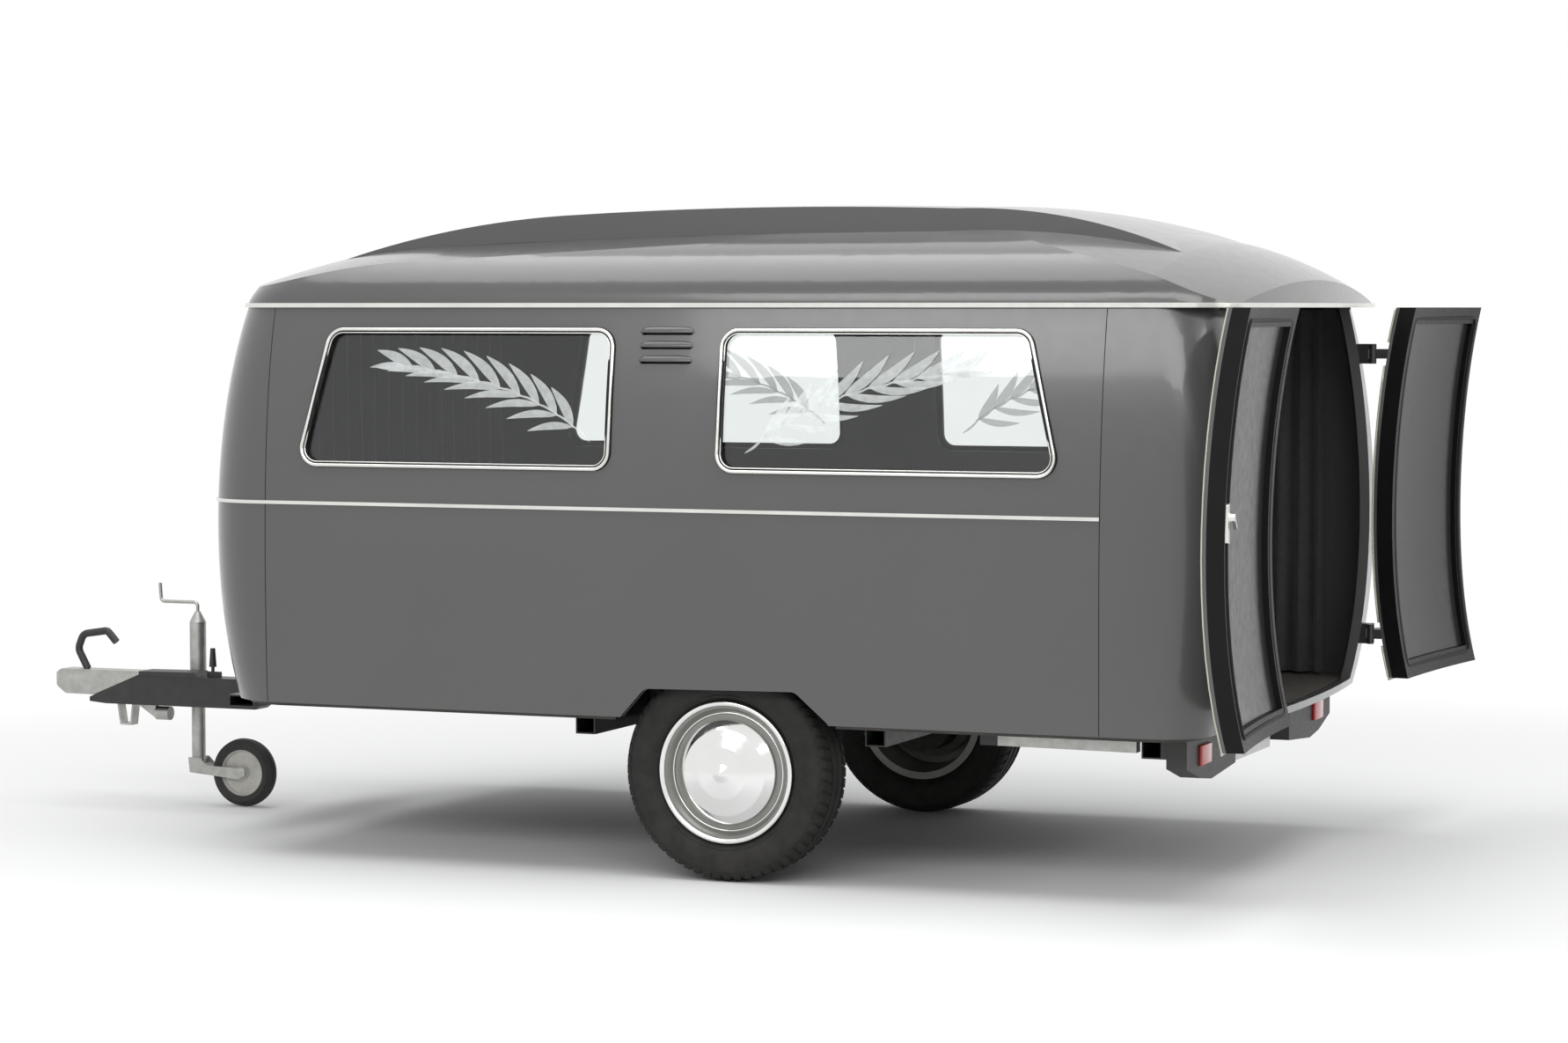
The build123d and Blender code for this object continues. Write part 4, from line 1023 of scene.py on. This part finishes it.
# The bright ring over the rim's edge and the thin one round the hubcap: distance out, radius.
RING_PROFILES = (
    ((RIM_FACE - 0.0005, 0.1835), (RIM_FACE + 0.0055, 0.1825), (RIM_FACE + 0.0085, 0.1785),
     (RIM_FACE + 0.0080, 0.1730), (RIM_FACE + 0.0040, 0.1690), (RIM_FACE - 0.0005, 0.1680)),
    ((0.7835, 0.1530), (0.7865, 0.1520), (0.7870, 0.1495), (0.7845, 0.1475), (0.7820, 0.1490)),
)


class HEARSE_OT_wheel_rings(bpy.types.Operator):
    """Fit the bright trim ring and the inner ring to each wheel"""
    bl_idname = "hearse.wheel_rings"
    bl_label = "Wheel rings"

    def execute(self, context):
        chrome = finish("hubcap_chrome")
        for side, side_name in ((1, "left"), (-1, "right")):
            rings = [turned("ring", profile, side, 0.0, AXLE_HEIGHT) for profile in RING_PROFILES]
            name = "wheel_rings_" + side_name
            add_piece(name, joined(rings, name), "wheel_" + side_name, chrome)
        return {"FINISHED"}


def rounded_block(low, high, bevel):
    bm = bmesh.new()
    bmesh.ops.create_cube(bm, size=1)
    middle, size = (low + high) / 2, high - low
    bmesh.ops.scale(bm, vec=size, verts=bm.verts)
    bmesh.ops.translate(bm, vec=middle, verts=bm.verts)
    bmesh.ops.bevel(bm, geom=bm.edges, offset=bevel, segments=3, profile=0.5, affect="EDGES")
    return bm


class HEARSE_OT_lamps(bpy.types.Operator):
    """Fit the red lenses to the rear faces of the lamp housings"""
    bl_idname = "hearse.lamps"
    bl_label = "Lamp lenses"

    def execute(self, context):
        red = finish("red_lens")
        low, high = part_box("rear_lamps")
        for side, side_name in ((1, "left"), (-1, "right")):
            outer = high.y - LENS_FROM_END
            ends = sorted((side * outer, side * (outer - LENS_WIDTH)))
            corner = Vector((low.x - LENS_PROUD, ends[0], LENS_LOW))
            far = Vector((low.x + LENS_SUNK, ends[1], LENS_HIGH))
            name = "lamp_lens_" + side_name
            mesh = mesh_from(rounded_block(corner, far, LENS_BEVEL), name)
            add_piece(name, mesh, "trailer", red)
        return {"FINISHED"}


# A hung sheet between two places in plan, gathered into even folds that deepen towards the hem.
def drape_mesh(name, start, end, low, high, folds):
    columns_per_fold = 10
    columns = folds * columns_per_fold
    rows = 8
    gathered = 0.6
    drift, ripple = 0.8, 0.15
    start, end = Vector(start), Vector(end)
    run = end - start
    across = Vector((-run.y, run.x)).normalized()
    bm = bmesh.new()
    layer = bm.loops.layers.uv.new("flat")
    grid, flat_width = [], 0.0
    for row in range(rows + 1):
        share = row / rows
        line, measured, last = [], 0.0, None
        for column in range(columns + 1):
            along = column / columns
            wave = math.sin(math.tau * folds * along + drift * math.sin(5 * along))
            swing = (gathered + (1 - gathered) * share) * wave + ripple * math.sin(17 * along + 3 * share)
            place = start + run * along + across * swing * FOLD_DEPTH
            point = Vector((place.x, place.y, high + (low - high) * share))
            measured += (point - last).length if last else 0.0
            last = point
            line.append((bm.verts.new(point), measured))
        grid.append(line)
        flat_width = max(flat_width, measured)
    for row in range(rows):
        for column in range(columns):
            corners = [*grid[row][column:column + 2], *reversed(grid[row + 1][column:column + 2])]
            face = bm.faces.new([vert for vert, _ in corners])
            heights = (row, row, row + 1, row + 1)
            for loop, (_, measured), step in zip(face.loops, corners, heights):
                loop[layer].uv = (measured, (high - low) * step / rows)
    return mesh_from(bm, name), flat_width


class HEARSE_OT_drapes(bpy.types.Operator):
    """Hang the dark drapes inside the front wall and beside the rear doors"""
    bl_idname = "hearse.drapes"
    bl_label = "Drapes"

    def execute(self, context):
        cloth = drape_cloth()
        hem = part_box("floor_panel")[1].z + FLOOR_GAP
        station, half = FRONT_DRAPE
        folds = context.scene.hearse.drape_folds
        hangings = [("drape_front", (station, -half), (station, half), folds, "body_front")]
        for side, side_name in ((1, "left"), (-1, "right")):
            start, end = ((x, side * y) for x, y in REAR_DRAPE)
            hangings.append(("drape_rear_" + side_name, start, end, REAR_FOLDS, "rear_frame"))
        for name, start, end, count, wall in hangings:
            mesh, width = drape_mesh(name, start, end, hem, RAIL_HEIGHT, count)
            piece = add_piece(name, mesh, "trailer", cloth)
        return {"FINISHED"}


def seen_directly(tree):
    path = tree.nodes.new("ShaderNodeLightPath")
    either = math_node(tree, "MAXIMUM", path.outputs["Is Camera Ray"], path.outputs["Is Glossy Ray"])
    return math_node(tree, "MAXIMUM", either, path.outputs["Is Transmission Ray"])


# A pale floor that takes the shadow near the trailer and fades to white away from it.
def stage_material():
    material, tree, shader = empty_material("pale_floor")
    shader.inputs["Roughness"].default_value = 0.9
    shader.inputs["Specular IOR Level"].default_value = 0.0
    shader.inputs["Base Color"].default_value = (0.86, 0.86, 0.86, 1)
    white = tree.nodes.new("ShaderNodeEmission")
    reach = tree.nodes.new("ShaderNodeVectorMath")
    reach.operation = "LENGTH"
    tree.links.new(tree.nodes.new("ShaderNodeTexCoord").outputs["Object"], reach.inputs[0])
    far = range_node(tree, reach.outputs["Value"], 0.0, 1.0, FLOOR_NEAR, FLOOR_FAR)
    fade = tree.nodes.new("ShaderNodeMixShader")
    link_all(tree, (
        (math_node(tree, "MULTIPLY", far, seen_directly(tree)), fade.inputs[0]),
        (shader.outputs[0], fade.inputs[1]),
        (white.outputs[0], fade.inputs[2]),
        (fade.outputs[0], tree.nodes["Material Output"].inputs["Surface"]),
    ))
    return material


def white_world(scene):
    world = bpy.data.worlds.new("studio")
    scene.world = world
    world.use_nodes = True
    tree = world.node_tree
    lighting = tree.nodes["Background"]
    lighting.inputs["Color"].default_value = SKY_COLOR
    lighting.inputs["Strength"].default_value = SKY_STRENGTH
    backdrop = tree.nodes.new("ShaderNodeBackground")
    backdrop.inputs["Color"].default_value = (1, 1, 1, 1)
    backdrop.inputs["Strength"].default_value = 1.0
    choice = tree.nodes.new("ShaderNodeMixShader")
    link_all(tree, (
        (seen_directly(tree), choice.inputs[0]),
        (lighting.outputs[0], choice.inputs[1]),
        (backdrop.outputs[0], choice.inputs[2]),
        (choice.outputs[0], tree.nodes["World Output"].inputs["Surface"]),
    ))


def soft_light(name, place, aim, width, depth, power):
    data = bpy.data.lights.new(name, "AREA")
    data.shape = "RECTANGLE"
    data.size = width
    data.size_y = depth
    data.energy = power
    light = bpy.data.objects.new(name, data)
    light.location = place
    light.rotation_euler = (Vector(aim) - Vector(place)).to_track_quat("-Z", "Y").to_euler()
    bpy.context.scene.collection.objects.link(light)


class HEARSE_OT_stage(bpy.types.Operator):
    """Set the pale floor, the soft lights and the camera"""
    bl_idname = "hearse.stage"
    bl_label = "Stage"

    def execute(self, context):
        scene = context.scene
        scene.view_settings.view_transform = "Standard"
        bm = bmesh.new()
        bm.faces.new([bm.verts.new((FLOOR_HALF * x, FLOOR_HALF * y, 0))
                      for x, y in ((-1, -1), (1, -1), (1, 1), (-1, 1))])
        floor = bpy.data.objects.new("floor", mesh_from(bm, "floor"))
        floor.data.materials.append(stage_material())
        scene.collection.objects.link(floor)
        white_world(scene)
        for name, values in LIGHTS.items():
            soft_light(name, *values)
        data = bpy.data.cameras.new("photo_camera")
        data.sensor_width = SENSOR_WIDTH
        data.lens = CAMERA_LENS
        camera = bpy.data.objects.new("photo_camera", data)
        camera.location = CAMERA_PLACE
        camera.rotation_euler = CAMERA_LOOK.to_track_quat("-Z", "Y").to_euler()
        scene.collection.objects.link(camera)
        bpy.context.scene.camera = camera
        return {"FINISHED"}


class HEARSE_PT_parts(bpy.types.Panel):
    """Sizes, colours and pieces of the trailer hearse"""
    bl_label = "Trailer Hearse"
    bl_idname = "HEARSE_PT_parts"
    bl_space_type = "VIEW_3D"
    bl_region_type = "UI"
    bl_category = "Hearse"

    def draw(self, context):
        settings = context.scene.hearse
        for name in HearseSettings.__annotations__:
            self.layout.prop(settings, name)
        for step in STEPS:
            self.layout.operator(step.bl_idname)


STEPS = (
    HEARSE_OT_finishes, HEARSE_OT_fronds, HEARSE_OT_window_beads, HEARSE_OT_seams, HEARSE_OT_vents,
    HEARSE_OT_door_trim, HEARSE_OT_tyres, HEARSE_OT_wheel_rings, HEARSE_OT_lamps, HEARSE_OT_drapes,
    HEARSE_OT_stage,
)
CLASSES = (HearseSettings,) + STEPS + (HEARSE_PT_parts,)


def register():
    for item in CLASSES:
        bpy.utils.register_class(item)
    bpy.types.Scene.hearse = PointerProperty(type=HearseSettings)


def unregister():
    del bpy.types.Scene.hearse
    for item in reversed(CLASSES):
        bpy.utils.unregister_class(item)


def main():
    register()
    for step in STEPS:
        group, name = step.bl_idname.split(".")
        getattr(getattr(bpy.ops, group), name)()


if __name__ == "__main__":
    main()
